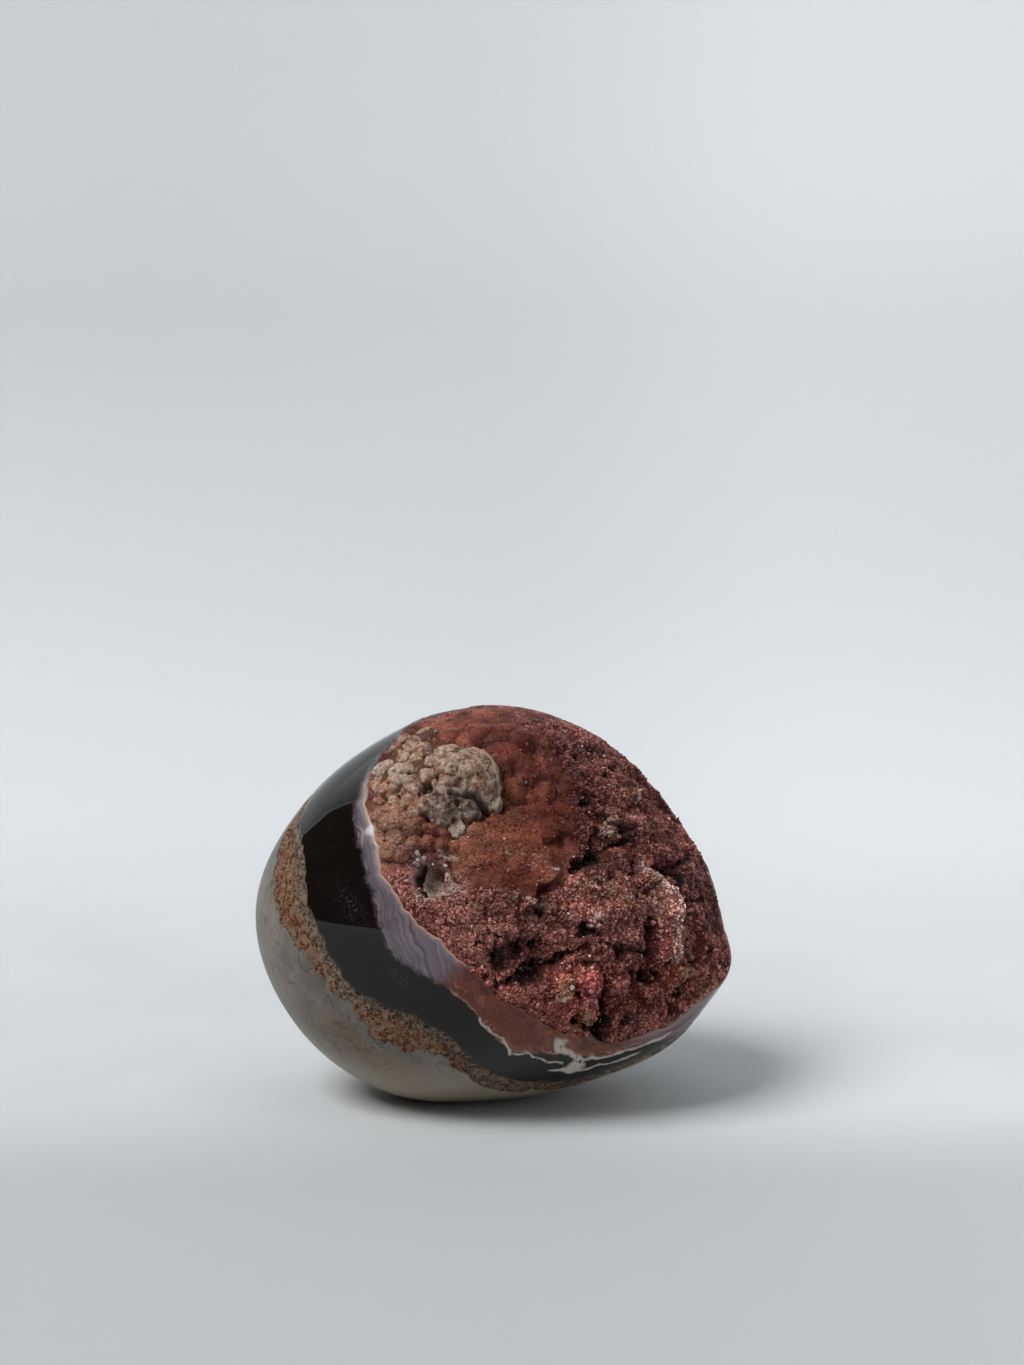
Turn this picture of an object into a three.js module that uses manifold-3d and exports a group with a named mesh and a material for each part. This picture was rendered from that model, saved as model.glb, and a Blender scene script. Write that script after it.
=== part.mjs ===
// A chalcedony nodule, ground and polished to an egg shape, with one side left as it grew:
// a face of red quartz druse with lobes, ledges, grooves and pits, and a pale lump of round
// nodules near its upper left rim. It is one natural piece, so it is one solid.
// Millimetres. +Z is up, +Y is away from the viewer, and the stone stands on a small flat at z = 0.
import * as THREE from "three";
import { mergeVertices } from "three/addons/utils/BufferGeometryUtils.js";
import Module from "manifold-3d";

const wasm = await Module();
wasm.setup();

// The polished egg. OUTLINE holds its radius every 30 degrees, seen from the front: first to
// the right, then anticlockwise. The egg leans back by LEAN about the left-right axis.
const OUTLINE = [40.9, 37.0, 36.5, 36.6, 35.4, 37.6, 41.1, 39.3, 36.2, 32.8, 34.1, 39.9];
const HALF_DEPTH = 29;
const LEAN = THREE.MathUtils.degToRad(11.8);
const CENTRE = new THREE.Vector3(-0.3, 0, 32.1);

// The angular corner low on the right, where the ground underside meets the druse.
const CORNER = { angle: -14, rise: 1.6, spread: 8 };

// The natural face. RIM holds the angle between the face axis and the rim every 15 degrees,
// first to the right, then anticlockwise as seen by someone who looks at the face.
const FACE_AXIS = new THREE.Vector3(0.43, -0.8, 0.42).normalize();
const RIM = [
  67.8, 63.9, 61.7, 61.6, 63.6, 67.6, 72.8, 75.3, 70.5, 68.6, 67.0, 62.1,
  61.3, 59.3, 56.3, 55.5, 58.5, 60.5, 64.2, 68.6, 69.5, 68.4, 69.9, 71.5,
];
const FACE_SINK = 7;
const RIM_FADE = 0.1;

// Lengths of the facets' edges, and of the steps between their rings.
const FACE_EDGE = 1.55;
const POLISHED_EDGE = 3.8;
const FACE_REACH = 35;
const EGG_REACH = 38;
const MEAN_RIM = THREE.MathUtils.degToRad(66);

// How often the search for a place on the face is repeated.
const PLACE_PASSES = 12;

// The block that takes off what would be below z = 0, and leaves the small flat to stand on.
const FOOT_CUTTER = { width: 80, height: 20 };

// Everything on the face is placed by u, to the right, and v, up, across the face axis.
const RIGHT = new THREE.Vector3(0, 0, 1).cross(FACE_AXIS).normalize();
const UP = new THREE.Vector3().crossVectors(FACE_AXIS, RIGHT);

// Rounded swellings and sinkings of the face: radius along u, along v, and height.
const SWELLS = [
  { u: 6.5, v: -14.5, along: 7, across: 5, height: 1.5 },
  { u: -15, v: -11.5, along: 5, across: 4, height: 0.8 },
  { u: 11, v: 9, along: 6, across: 6, height: 0.9 },
  { u: -1, v: 21, along: 6, across: 4, height: 0.8 },
  { u: 25, v: -2, along: 3, across: 4, height: 1.0 },
  { u: -6, v: -15.5, along: 3, across: 2.5, height: -1.6 },
  { u: -5, v: -19.5, along: 3, across: 2, height: -1.8 },
  { u: -12, v: -18.5, along: 2.6, across: 2, height: -1.1 },
  { u: 3, v: -28, along: 3.5, across: 2, height: -1.5 },
  { u: 10, v: 0, along: 4, across: 2.5, height: -1.1 },
];

// Steep-sided pits: the grey hollow near the left rim and the dark cavities among the druse.
const PITS = [
  { u: -20.5, v: -3.6, along: 2.3, across: 3.3, depth: 4.0 },
  { u: 5.1, v: -2.9, along: 2.6, across: 1.7, depth: 3.2 },
  { u: 18.2, v: 6.8, along: 1.8, across: 1.8, depth: 3.2 },
  { u: 21.3, v: -5.6, along: 2.4, across: 2.2, depth: 3.6 },
];

// Ridges and grooves that follow a line of points across the face.
const CREASES = [
  { points: [[-9, -1.2], [-3.8, -3.2], [0.2, -5.3], [6.2, -8.9], [9.7, -10.7]], half: 1.5, height: 1.0 },
  { points: [[-17.6, -6.5], [-11.8, -6.7], [-4.8, -9.2], [0, -12]], half: 1.8, height: 0.9 },
  { points: [[13.4, -10.8], [14.2, -16], [13.4, -21.6]], half: 1.3, height: -1.8 },
  { points: [[-8, 3], [-1, 2.5], [5, 4], [9, 2]], half: 1.4, height: -0.7 },
  { points: [[5, 25], [9, 17], [14, 12]], half: 1.6, height: -0.7 },
];

// The ledge on the right: the face drops by DROP to the right of these points.
const LEDGE = [
  { v: -27, u: 18, drop: 0.6 },
  { v: -19.5, u: 18.6, drop: 2.2 },
  { v: -12, u: 20, drop: 2.8 },
  { v: -8.5, u: 20.7, drop: 2.8 },
  { v: -5, u: 16, drop: 2.4 },
  { v: 6.6, u: 17.9, drop: 1.8 },
  { v: 17, u: 23.5, drop: 0.6 },
];
const LEDGE_WIDTH = 1.1;

// Unevenness of the druse: size of a swelling and how far it stands out.
const ROUGHNESS = [
  { size: 7.5, height: 0.75 },
  { size: 3.6, height: 0.5 },
];

// Round nodules of the pale lump: place, radius, and height of the top above the face.
const PALE_LUMP = [
  { u: -15.0, v: 14.0, radius: 6.6, proud: 3.9 },
  { u: -11.0, v: 14.6, radius: 4.6, proud: 4.2 },
  { u: -10.2, v: 11.6, radius: 3.6, proud: 4.2 },
  { u: -12.0, v: 9.6, radius: 3.4, proud: 3.6 },
  { u: -13.6, v: 18.0, radius: 3.8, proud: 2.8 },
  { u: -16.8, v: 9.4, radius: 3.4, proud: 3.0 },
  { u: -19.6, v: 12.2, radius: 3.2, proud: 2.4 },
  { u: -18.4, v: 17.0, radius: 3.8, proud: 2.4 },
  { u: -21.4, v: 15.6, radius: 3.4, proud: 1.5 },
  { u: -23.0, v: 18.6, radius: 3.2, proud: 0.8 },
  { u: -19.8, v: 21.0, radius: 3.2, proud: 1.1 },
  { u: -24.6, v: 14.6, radius: 2.8, proud: 0.6 },
  { u: -17.4, v: 23.8, radius: 3.0, proud: 0.9 },
  { u: -14.4, v: 26.0, radius: 2.6, proud: 0.6 },
  { u: -21.4, v: 9.6, radius: 2.8, proud: 0.8 },
  { u: -14.0, v: 17.9, radius: 2.0, proud: 3.6 },
  { u: -14.0, v: 14.4, radius: 2.3, proud: 4.7 },
  { u: -14.6, v: 10.6, radius: 1.4, proud: 4.9 },
  { u: -11.5, v: 9.2, radius: 1.9, proud: 4.5 },
  { u: -9.9, v: 9.7, radius: 2.0, proud: 4.0 },
  { u: -9.7, v: 14.6, radius: 2.2, proud: 4.3 },
  { u: -9.0, v: 12.2, radius: 1.9, proud: 4.2 },
  { u: -18.7, v: 8.9, radius: 1.9, proud: 3.2 },
  { u: -17.3, v: 7.4, radius: 2.0, proud: 2.9 },
  { u: -13.2, v: 7.4, radius: 1.9, proud: 3.0 },
  { u: -9.6, v: 8.2, radius: 1.9, proud: 3.1 },
  { u: -17.8, v: 17.7, radius: 1.5, proud: 3.2 },
  { u: -15.0, v: 4.9, radius: 1.2, proud: 1.6 },
];

// Rounded lobes of the smooth part of the face: place, half width and height above the face.
const LOBES = [
  { u: -5.9, v: 5.3, half: 3.1, rise: 1.7 },
  { u: -4.9, v: 11.2, half: 2.6, rise: 1.4 },
  { u: -2.2, v: 9.4, half: 1.6, rise: 1.0 },
  { u: -8.9, v: 4.5, half: 2.4, rise: 1.6 },
  { u: -3.0, v: 3.3, half: 1.9, rise: 1.0 },
  { u: -7.7, v: 0.7, half: 2.1, rise: 1.2 },
  { u: -10.6, v: 1.0, half: 1.6, rise: 0.9 },
  { u: -14.1, v: 0.9, half: 2.2, rise: 1.2 },
  { u: -18.7, v: 2.7, half: 1.5, rise: 1.1 },
  { u: -14.4, v: -1.6, half: 1.7, rise: 1.0 },
  { u: -11.8, v: -4.6, half: 2.6, rise: 1.1 },
  { u: -16.0, v: -3.4, half: 2.8, rise: 1.0 },
  { u: -5.1, v: 14.8, half: 1.6, rise: 1.1 },
  { u: -4.6, v: 19.2, half: 3.2, rise: 1.1 },
  { u: -1.6, v: 16.8, half: 2.6, rise: 1.0 },
  { u: -11.5, v: 25.4, half: 2.6, rise: 1.0 },
  { u: -9.4, v: 22.6, half: 2.4, rise: 1.0 },
  { u: -6.3, v: 24.8, half: 2.4, rise: 0.9 },
  { u: -2.2, v: 25.0, half: 2.2, rise: 0.8 },
  { u: -0.2, v: 21.2, half: 2.2, rise: 0.8 },
  { u: -25.4, v: 7.9, half: 1.9, rise: 1.1 },
  { u: -25.2, v: 5.0, half: 1.7, rise: 1.0 },
  { u: -26.8, v: 3.1, half: 1.6, rise: 0.9 },
  { u: -22.5, v: 5.9, half: 1.5, rise: 1.0 },
  { u: -19.8, v: 5.4, half: 1.6, rise: 1.2 },
  { u: -12.6, v: 3.8, half: 1.8, rise: 1.0 },
  { u: -0.8, v: 6.7, half: 2.2, rise: 1.0 },
  { u: -7.1, v: -2.4, half: 2.0, rise: 0.9 },
  { u: 0.8, v: 10.2, half: 2.0, rise: 0.8 },
  { u: 0.9, v: 14.0, half: 2.2, rise: 0.8 },
];
const NODULE_DETAIL = 2;

// Quartz points large enough to see one by one: place, radius, height and lean along u and v.
const CRYSTALS = [
  { u: -1.0, v: -21.2, radius: 1.0, height: 2.6, lean: [-0.5, 0.3] },
  { u: 0.4, v: -21.9, radius: 1.1, height: 2.9, lean: [0.3, -0.1] },
  { u: -0.2, v: -20.2, radius: 0.8, height: 2.2, lean: [0.2, 0.6] },
  { u: 3.0, v: -25.2, radius: 0.9, height: 2.6, lean: [-0.2, 0.5] },
  { u: 3.8, v: -26.2, radius: 0.8, height: 2.2, lean: [0.5, 0.1] },
  { u: 20.6, v: -15.0, radius: 1.0, height: 2.8, lean: [0.5, 0.2] },
  { u: 21.4, v: -16.8, radius: 1.2, height: 3.0, lean: [0.1, -0.4] },
  { u: 22.6, v: -19.4, radius: 1.0, height: 2.4, lean: [0.4, -0.2] },
  { u: -23.6, v: -2.2, radius: 0.9, height: 2.2, lean: [-0.3, 0.4] },
  { u: -22.9, v: -0.6, radius: 0.8, height: 2.0, lean: [0.3, 0.4] },
];
const CRYSTAL_ROOT = 1.2;
const CRYSTAL_SHOULDER = 0.45;

// Smooth value round a closed ring of evenly spaced values, at an angle in radians.
function ringValue(values, angle) {
  const count = values.length;
  const place = THREE.MathUtils.euclideanModulo(angle / (2 * Math.PI), 1) * count;
  const first = Math.floor(place) % count;
  const t = place - Math.floor(place);
  const [a, b, c, d] = [-1, 0, 1, 2].map((step) => values[(first + step + count) % count]);
  return b + 0.5 * t * (c - a + t * (2 * a - 5 * b + 4 * c - d + t * (3 * (b - c) + d - a)));
}

// Distance from the centre to the polished egg in a direction.
function eggRadius(direction) {
  const angle = Math.atan2(direction.z, direction.x);
  const away = THREE.MathUtils.euclideanModulo(
    THREE.MathUtils.radToDeg(angle) - CORNER.angle + 180, 360) - 180;
  const outline = ringValue(OUTLINE, angle) + CORNER.rise * Math.exp(-((away / CORNER.spread) ** 2));
  const across = Math.hypot(direction.x, direction.z) / outline;
  return 1 / Math.hypot(across, direction.y / HALF_DEPTH);
}

// Direction at an angle from the face axis, and a turn round it.
function faceDirection(angle, turn) {
  return new THREE.Vector3()
    .addScaledVector(FACE_AXIS, Math.cos(angle))
    .addScaledVector(RIGHT, Math.sin(angle) * Math.cos(turn))
    .addScaledVector(UP, Math.sin(angle) * Math.sin(turn));
}

// How far out towards the rim a direction lies: 0 at the face's middle, 1 at the rim.
function reachToRim(direction) {
  const turn = Math.atan2(direction.dot(UP), direction.dot(RIGHT));
  const rim = THREE.MathUtils.degToRad(ringValue(RIM, turn));
  return direction.angleTo(FACE_AXIS) / rim;
}

// The even surface: the egg outside the rim, and a flatter sunken dome inside it.
function evenPoint(direction) {
  const reach = Math.min(reachToRim(direction), 1);
  return direction.clone().multiplyScalar(eggRadius(direction) - FACE_SINK * (1 - reach ** 2));
}

// Repeatable random number from 0 to 1 for a corner of the noise grid.
function cornerValue(x, y, z) {
  let mixed = Math.imul(x, 374761393) ^ Math.imul(y, 668265263) ^ Math.imul(z, 1442695041);
  mixed = Math.imul(mixed ^ (mixed >>> 13), 1274126177);
  return ((mixed ^ (mixed >>> 16)) >>> 0) / 4294967295;
}

// Smooth noise from -1 to 1.
function noise(point) {
  const low = point.clone().floor();
  const part = point.clone().sub(low);
  const ease = (t) => t * t * (3 - 2 * t);
  let total = 0;
  for (let corner = 0; corner < 8; corner += 1) {
    const [i, j, k] = [corner & 1, (corner >> 1) & 1, corner >> 2];
    const weight = (i ? ease(part.x) : 1 - ease(part.x)) * (j ? ease(part.y) : 1 - ease(part.y))
      * (k ? ease(part.z) : 1 - ease(part.z));
    total += weight * cornerValue(low.x + i, low.y + j, low.z + k);
  }
  return 2 * total - 1;
}

function distanceToLine(u, v, points) {
  const place = new THREE.Vector2(u, v);
  let nearest = Infinity;
  for (let i = 1; i < points.length; i += 1) {
    const start = new THREE.Vector2(...points[i - 1]);
    const run = new THREE.Vector2(...points[i]).sub(start);
    const t = THREE.MathUtils.clamp(place.clone().sub(start).dot(run) / run.lengthSq(), 0, 1);
    nearest = Math.min(nearest, place.distanceTo(start.addScaledVector(run, t)));
  }
  return nearest;
}

function ledgeDrop(u, v) {
  const next = LEDGE.findIndex((point) => point.v > v);
  if (next < 1) return 0;
  const [a, b] = [LEDGE[next - 1], LEDGE[next]];
  const t = (v - a.v) / (b.v - a.v);
  const edge = THREE.MathUtils.lerp(a.u, b.u, t);
  return THREE.MathUtils.lerp(a.drop, b.drop, t) * THREE.MathUtils.smoothstep(u - edge, 0, LEDGE_WIDTH);
}

// Height of the druse above the even surface.
function relief(point) {
  const u = point.dot(RIGHT);
  const v = point.dot(UP);
  let height = -ledgeDrop(u, v);
  for (const swell of SWELLS) {
    const far = ((u - swell.u) / swell.along) ** 2 + ((v - swell.v) / swell.across) ** 2;
    height += swell.height * Math.exp(-far);
  }
  for (const pit of PITS) {
    const far = Math.hypot((u - pit.u) / pit.along, (v - pit.v) / pit.across);
    height -= pit.depth * (1 - THREE.MathUtils.smoothstep(far, 0.35, 1.15));
  }
  for (const crease of CREASES) {
    height += crease.height * Math.exp(-((distanceToLine(u, v, crease.points) / crease.half) ** 2));
  }
  for (const layer of ROUGHNESS) {
    height += layer.height * noise(point.clone().divideScalar(layer.size));
  }
  return height;
}

function surfacePoint(direction) {
  const point = evenPoint(direction);
  const inside = THREE.MathUtils.smoothstep(1 - reachToRim(direction), 0, RIM_FADE);
  return inside > 0 ? point.addScaledVector(direction, inside * relief(point)) : point;
}

// The surface's direction at a place on the face. Each pass goes half of the way, because
// whole steps would swing to and fro near the rim.
function directionAt(u, v) {
  const flat = new THREE.Vector3().addScaledVector(RIGHT, u).addScaledVector(UP, v);
  let height = HALF_DEPTH / 2;
  for (let pass = 0; pass < PLACE_PASSES; pass += 1) {
    const direction = flat.clone().addScaledVector(FACE_AXIS, height).normalize();
    const wanted = Math.sqrt(Math.max(evenPoint(direction).lengthSq() - u * u - v * v, 1));
    height = (height + wanted) / 2;
  }
  return flat.addScaledVector(FACE_AXIS, height).normalize();
}

// One closed loop of points round the face axis. far goes from 0 at the middle of the face
// to 1 at the rim and 2 at the middle of the back.
function ringOfPoints(far, count) {
  const loop = [];
  for (let i = 0; i < count; i += 1) {
    const turn = (2 * Math.PI * i) / count;
    const rim = THREE.MathUtils.degToRad(ringValue(RIM, turn));
    const angle = far <= 1 ? rim * far : rim + (Math.PI - rim) * (far - 1);
    loop.push(surfacePoint(faceDirection(angle, turn)));
  }
  return loop;
}

// Loops from the middle of the face, over the rim, to the middle of the back.
function stoneLoops() {
  const loops = [[surfacePoint(FACE_AXIS)]];
  const faceSteps = Math.round(FACE_REACH / FACE_EDGE);
  for (let i = 1; i <= faceSteps; i += 1) {
    const far = i / faceSteps;
    const count = Math.round((2 * Math.PI * FACE_REACH * far) / FACE_EDGE);
    loops.push(ringOfPoints(far, Math.max(6, count)));
  }
  const backSteps = Math.round((EGG_REACH * 2) / POLISHED_EDGE);
  for (let i = 1; i < backSteps; i += 1) {
    const far = 1 + i / backSteps;
    const wide = Math.sin(THREE.MathUtils.lerp(MEAN_RIM, Math.PI, far - 1));
    const count = Math.round((2 * Math.PI * EGG_REACH * wide) / POLISHED_EDGE);
    loops.push(ringOfPoints(far, Math.max(6, count)));
  }
  loops.push([surfacePoint(FACE_AXIS.clone().negate())]);
  return loops;
}

// Triangles between two loops of different counts, which both start at the same turn.
function bridge(triangles, inner, outer) {
  let i = 0;
  let j = 0;
  while (i < inner.count || j < outer.count) {
    const innerNext = inner.count > 1 && i < inner.count ? (i + 1) / inner.count : Infinity;
    const outerNext = outer.count > 1 && j < outer.count ? (j + 1) / outer.count : Infinity;
    if (innerNext === Infinity && outerNext === Infinity) break;
    const a = inner.start + (i % inner.count);
    const b = outer.start + (j % outer.count);
    if (outerNext <= innerNext) {
      triangles.push(a, b, outer.start + ((j + 1) % outer.count));
      j += 1;
    } else {
      triangles.push(a, b, inner.start + ((i + 1) % inner.count));
      i += 1;
    }
  }
}

function stoneShell() {
  const positions = [];
  const triangles = [];
  let previous = null;
  for (const loop of stoneLoops()) {
    const current = { start: positions.length / 3, count: loop.length };
    for (const point of loop) positions.push(point.x, point.y, point.z);
    if (previous) bridge(triangles, previous, current);
    previous = current;
  }
  const geometry = new THREE.BufferGeometry();
  geometry.setAttribute("position", new THREE.Float32BufferAttribute(positions, 3));
  geometry.setIndex(triangles);
  return geometry;
}

function noduleGeometry({ u, v, radius, proud }) {
  const direction = directionAt(u, v);
  const centre = surfacePoint(direction).addScaledVector(direction, proud - radius);
  return new THREE.IcosahedronGeometry(radius, NODULE_DETAIL).translate(centre.x, centre.y, centre.z);
}

// The nodule whose cap leaves the face with a lobe's half width and height.
function lobeNodule({ u, v, half, rise }) {
  return { u, v, radius: (half ** 2 + rise ** 2) / (2 * rise), proud: rise };
}

// A six-sided quartz point whose root is sunk in the druse.
function crystalGeometry({ u, v, radius, height, lean }) {
  const direction = directionAt(u, v);
  const root = surfacePoint(direction).addScaledVector(direction, -CRYSTAL_ROOT);
  const axis = direction.clone().addScaledVector(RIGHT, lean[0]).addScaledVector(UP, lean[1]).normalize();
  const shoulder = CRYSTAL_ROOT + height * CRYSTAL_SHOULDER;
  const profile = [[0, 0], [radius, 0], [radius, shoulder], [0, CRYSTAL_ROOT + height]];
  const geometry = new THREE.LatheGeometry(profile.map(([x, y]) => new THREE.Vector2(x, y)), 6);
  const turn = new THREE.Quaternion().setFromUnitVectors(new THREE.Vector3(0, 1, 0), axis);
  return geometry.applyQuaternion(turn).translate(root.x, root.y, root.z);
}

// A closed solid from a three.js geometry.
function solidFrom(geometry) {
  const bare = geometry.clone();
  bare.deleteAttribute("normal");
  bare.deleteAttribute("uv");
  const merged = mergeVertices(bare, 1e-4);
  return new wasm.Manifold(new wasm.Mesh({
    numProp: 3,
    vertProperties: new Float32Array(merged.attributes.position.array),
    triVerts: new Uint32Array(merged.index.array),
  }));
}

function geometryFrom(solid) {
  const mesh = solid.getMesh();
  const geometry = new THREE.BufferGeometry();
  geometry.setAttribute("position", new THREE.BufferAttribute(mesh.vertProperties, 3));
  geometry.setIndex(new THREE.BufferAttribute(mesh.triVerts, 1));
  return geometry;
}

// From the egg's own axes to the standing stone.
function stand(geometry) {
  return geometry.rotateX(-LEAN).translate(CENTRE.x, CENTRE.y, CENTRE.z);
}

function chalcedonyGeometry() {
  let solid = solidFrom(stand(stoneShell()));
  for (const nodule of [...PALE_LUMP, ...LOBES.map(lobeNodule)]) {
    solid = solid.add(solidFrom(stand(noduleGeometry(nodule))));
  }
  for (const crystal of CRYSTALS) {
    solid = solid.add(solidFrom(stand(crystalGeometry(crystal))));
  }
  const cutter = new THREE.BoxGeometry(FOOT_CUTTER.width, FOOT_CUTTER.width, FOOT_CUTTER.height);
  cutter.translate(0, 0, -FOOT_CUTTER.height / 2);
  solid = solid.subtract(solidFrom(cutter));
  const geometry = geometryFrom(solid);
  geometry.computeVertexNormals();
  return geometry;
}

function chalcedony() {
  const material = new THREE.MeshStandardMaterial({ color: 0x6e4a43, roughness: 0.45, metalness: 0 });
  const stone = new THREE.Mesh(chalcedonyGeometry(), material);
  stone.name = "chalcedony_stone";
  return stone;
}

const group = new THREE.Group();
group.add(chalcedony());
export default group;
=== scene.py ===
import math

import bpy
import numpy as np
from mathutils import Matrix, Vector


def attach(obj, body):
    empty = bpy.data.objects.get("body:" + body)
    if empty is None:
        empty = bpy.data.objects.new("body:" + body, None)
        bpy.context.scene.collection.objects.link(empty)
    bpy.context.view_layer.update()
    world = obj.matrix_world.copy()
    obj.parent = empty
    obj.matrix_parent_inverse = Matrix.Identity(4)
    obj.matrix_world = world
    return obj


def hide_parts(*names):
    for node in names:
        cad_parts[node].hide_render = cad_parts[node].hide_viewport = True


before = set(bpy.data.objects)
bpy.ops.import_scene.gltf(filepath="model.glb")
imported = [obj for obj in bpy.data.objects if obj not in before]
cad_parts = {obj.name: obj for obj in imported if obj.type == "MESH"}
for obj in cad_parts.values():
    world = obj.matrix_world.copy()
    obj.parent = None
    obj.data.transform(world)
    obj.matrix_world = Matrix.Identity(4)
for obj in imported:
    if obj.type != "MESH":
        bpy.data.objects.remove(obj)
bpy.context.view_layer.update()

STONE = "chalcedony_stone"
MM = 0.001
rng = np.random.default_rng(7)

# The polished egg, in millimetres and in its own axes: x to the right, y away, z up.
OUTLINE = [40.9, 37.0, 36.5, 36.6, 35.4, 37.6, 41.1, 39.3, 36.2, 32.8, 34.1, 39.9]
HALF_DEPTH = 29
LEAN = math.radians(11.8)
CENTRE = np.array([-0.3, 0, 32.1])
CORNER = {"angle": -14, "rise": 1.6, "spread": 8}

# The natural face: its axis, and the angle from that axis to the rim every 15 degrees.
FACE_AXIS = np.array([0.43, -0.8, 0.42])
FACE_AXIS = FACE_AXIS / np.linalg.norm(FACE_AXIS)
RIM = [
    67.8, 63.9, 61.7, 61.6, 63.6, 67.6, 72.8, 75.3, 70.5, 68.6, 67.0, 62.1,
    61.3, 59.3, 56.3, 55.5, 58.5, 60.5, 64.2, 68.2, 67.4, 66.0, 68.6, 71.2,
]
FACE_SINK = 7
RIM_FADE = 0.1
RIM_SLACK = 11
EGG_MEAN = 34
NODULE_SHARE = 0.52
PLACE_PASSES = 12
RIGHT = np.cross([0, 0, 1], FACE_AXIS)
RIGHT = RIGHT / np.linalg.norm(RIGHT)
UP = np.cross(FACE_AXIS, RIGHT)

# Forms of the face, placed by u to the right and v up across the face axis.
SWELLS = [
    (6.5, -14.5, 7, 5, 1.5), (-15, -11.5, 5, 4, 0.8), (11, 9, 6, 6, 0.9), (-1, 21, 6, 4, 0.8),
    (25, -2, 3, 4, 1.0), (-6, -15.5, 3, 2.5, -1.6), (-5, -19.5, 3, 2, -1.8),
    (-12, -18.5, 2.6, 2, -1.1), (3, -28, 3.5, 2, -1.5), (10, 0, 4, 2.5, -1.1),
    (20, 18, 5, 5, -2.6), (22.5, 12, 4, 4, -1.6),
]
PITS = [
    (-20.5, -3.4, 2.6, 3.3, 3.2), (5.1, -2.9, 2.6, 1.7, 3.2),
    (18.2, 6.8, 1.8, 1.8, 3.2), (21.3, -5.6, 2.4, 2.2, 3.6),
]
STREAK_LINE = [(-9, -1.2), (-3.8, -3.2), (0.2, -5.3), (6.2, -8.9), (9.7, -10.7)]
CREST_LINE = [(-17.6, -6.5), (-11.8, -6.7), (-4.8, -9.2), (0, -12)]
CREASES = [
    (STREAK_LINE, 1.5, 1.0),
    (CREST_LINE, 1.8, 0.9),
    ([(13.4, -10.8), (14.2, -16), (13.4, -21.6)], 1.3, -1.8),
    ([(-8, 3), (-1, 2.5), (5, 4), (9, 2)], 1.4, -0.7),
    ([(5, 25), (9, 17), (14, 12)], 1.6, -0.7),
]
LEDGE = [
    (-27, 18, 0.6), (-19.5, 18.6, 2.2), (-12, 20, 2.8), (-8.5, 20.7, 2.8),
    (-5, 16, 2.4), (6.6, 17.9, 1.8), (17, 23.5, 0.6),
]
LEDGE_WIDTH = 1.1
ROUGHNESS = [(7.5, 0.75), (3.6, 0.5)]

# The body of the pale lump, and the nodules on it: u, v, radius, height of the top above the face.
LUMP_BODY = [
    (-15.0, 14.0, 6.6, 3.9), (-11.0, 14.6, 4.6, 4.2), (-10.2, 11.6, 3.6, 4.2), (-12.0, 9.6, 3.4, 3.6),
    (-13.6, 18.0, 3.8, 2.8), (-16.8, 9.4, 3.4, 3.0), (-19.6, 12.2, 3.2, 2.4), (-18.4, 17.0, 3.8, 2.4),
    (-21.4, 15.6, 3.4, 1.5), (-23.0, 18.6, 3.2, 0.8), (-19.8, 21.0, 3.2, 1.1), (-24.6, 14.6, 2.8, 0.6),
    (-17.4, 23.8, 3.0, 0.9), (-14.4, 26.0, 2.6, 0.6), (-21.4, 9.6, 2.8, 0.8), (-20.6, 23.0, 2.4, 0.4),
]
NODULES = [
    (-14.0, 17.9, 2.0, 3.6), (-14.0, 14.4, 2.3, 4.7), (-16.2, 15.6, 1.0, 4.2), (-17.8, 17.7, 1.5, 3.2),
    (-17.1, 13.2, 1.4, 4.3), (-14.6, 10.6, 1.4, 4.9), (-14.7, 8.5, 1.5, 4.2), (-12.0, 12.0, 1.5, 4.9),
    (-11.5, 9.2, 1.9, 4.5), (-12.1, 14.9, 1.5, 4.9), (-9.9, 9.7, 2.0, 4.0), (-9.6, 8.2, 1.9, 3.1),
    (-9.7, 14.6, 2.2, 4.3), (-9.0, 12.2, 1.9, 4.2), (-19.4, 11.9, 1.3, 3.2), (-18.7, 8.9, 1.9, 3.2),
    (-17.3, 7.4, 2.0, 2.9), (-15.3, 7.2, 1.6, 3.0), (-13.2, 7.4, 1.9, 3.0), (-15.9, 9.6, 1.1, 4.0),
    (-19.8, 16.5, 1.5, 3.0), (-21.3, 17.2, 1.3, 2.4), (-22.8, 19.2, 1.5, 1.6), (-24.3, 18.6, 1.1, 1.1),
    (-19.6, 19.4, 1.2, 2.2), (-22.1, 15.4, 1.4, 2.2), (-20.5, 14.1, 1.2, 2.8), (-20.7, 12.4, 1.2, 2.5),
    (-24.2, 14.6, 1.5, 1.3), (-22.7, 13.6, 1.0, 1.5), (-25.4, 16.2, 1.1, 0.9), (-21.6, 10.3, 1.2, 1.7),
    (-21.0, 8.5, 1.4, 1.7), (-18.3, 24.9, 1.5, 1.5), (-16.8, 23.0, 1.3, 1.8), (-18.2, 21.3, 1.3, 2.0),
    (-14.4, 26.2, 1.5, 1.4), (-20.4, 22.9, 1.1, 1.1), (-16.6, 20.6, 1.3, 2.6), (-15.0, 4.9, 1.15, 1.6),
    (-15.9, 3.8, 0.6, 0.9), (-16.4, 4.9, 0.7, 0.9), (-25.6, 12.4, 1.1, 0.9), (-23.4, 11.6, 1.2, 1.2),
]
CRATER = {"u": -17.9, "v": 10.7, "rim": 1.0, "depth": 1.1, "seed": 0.45}
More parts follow.
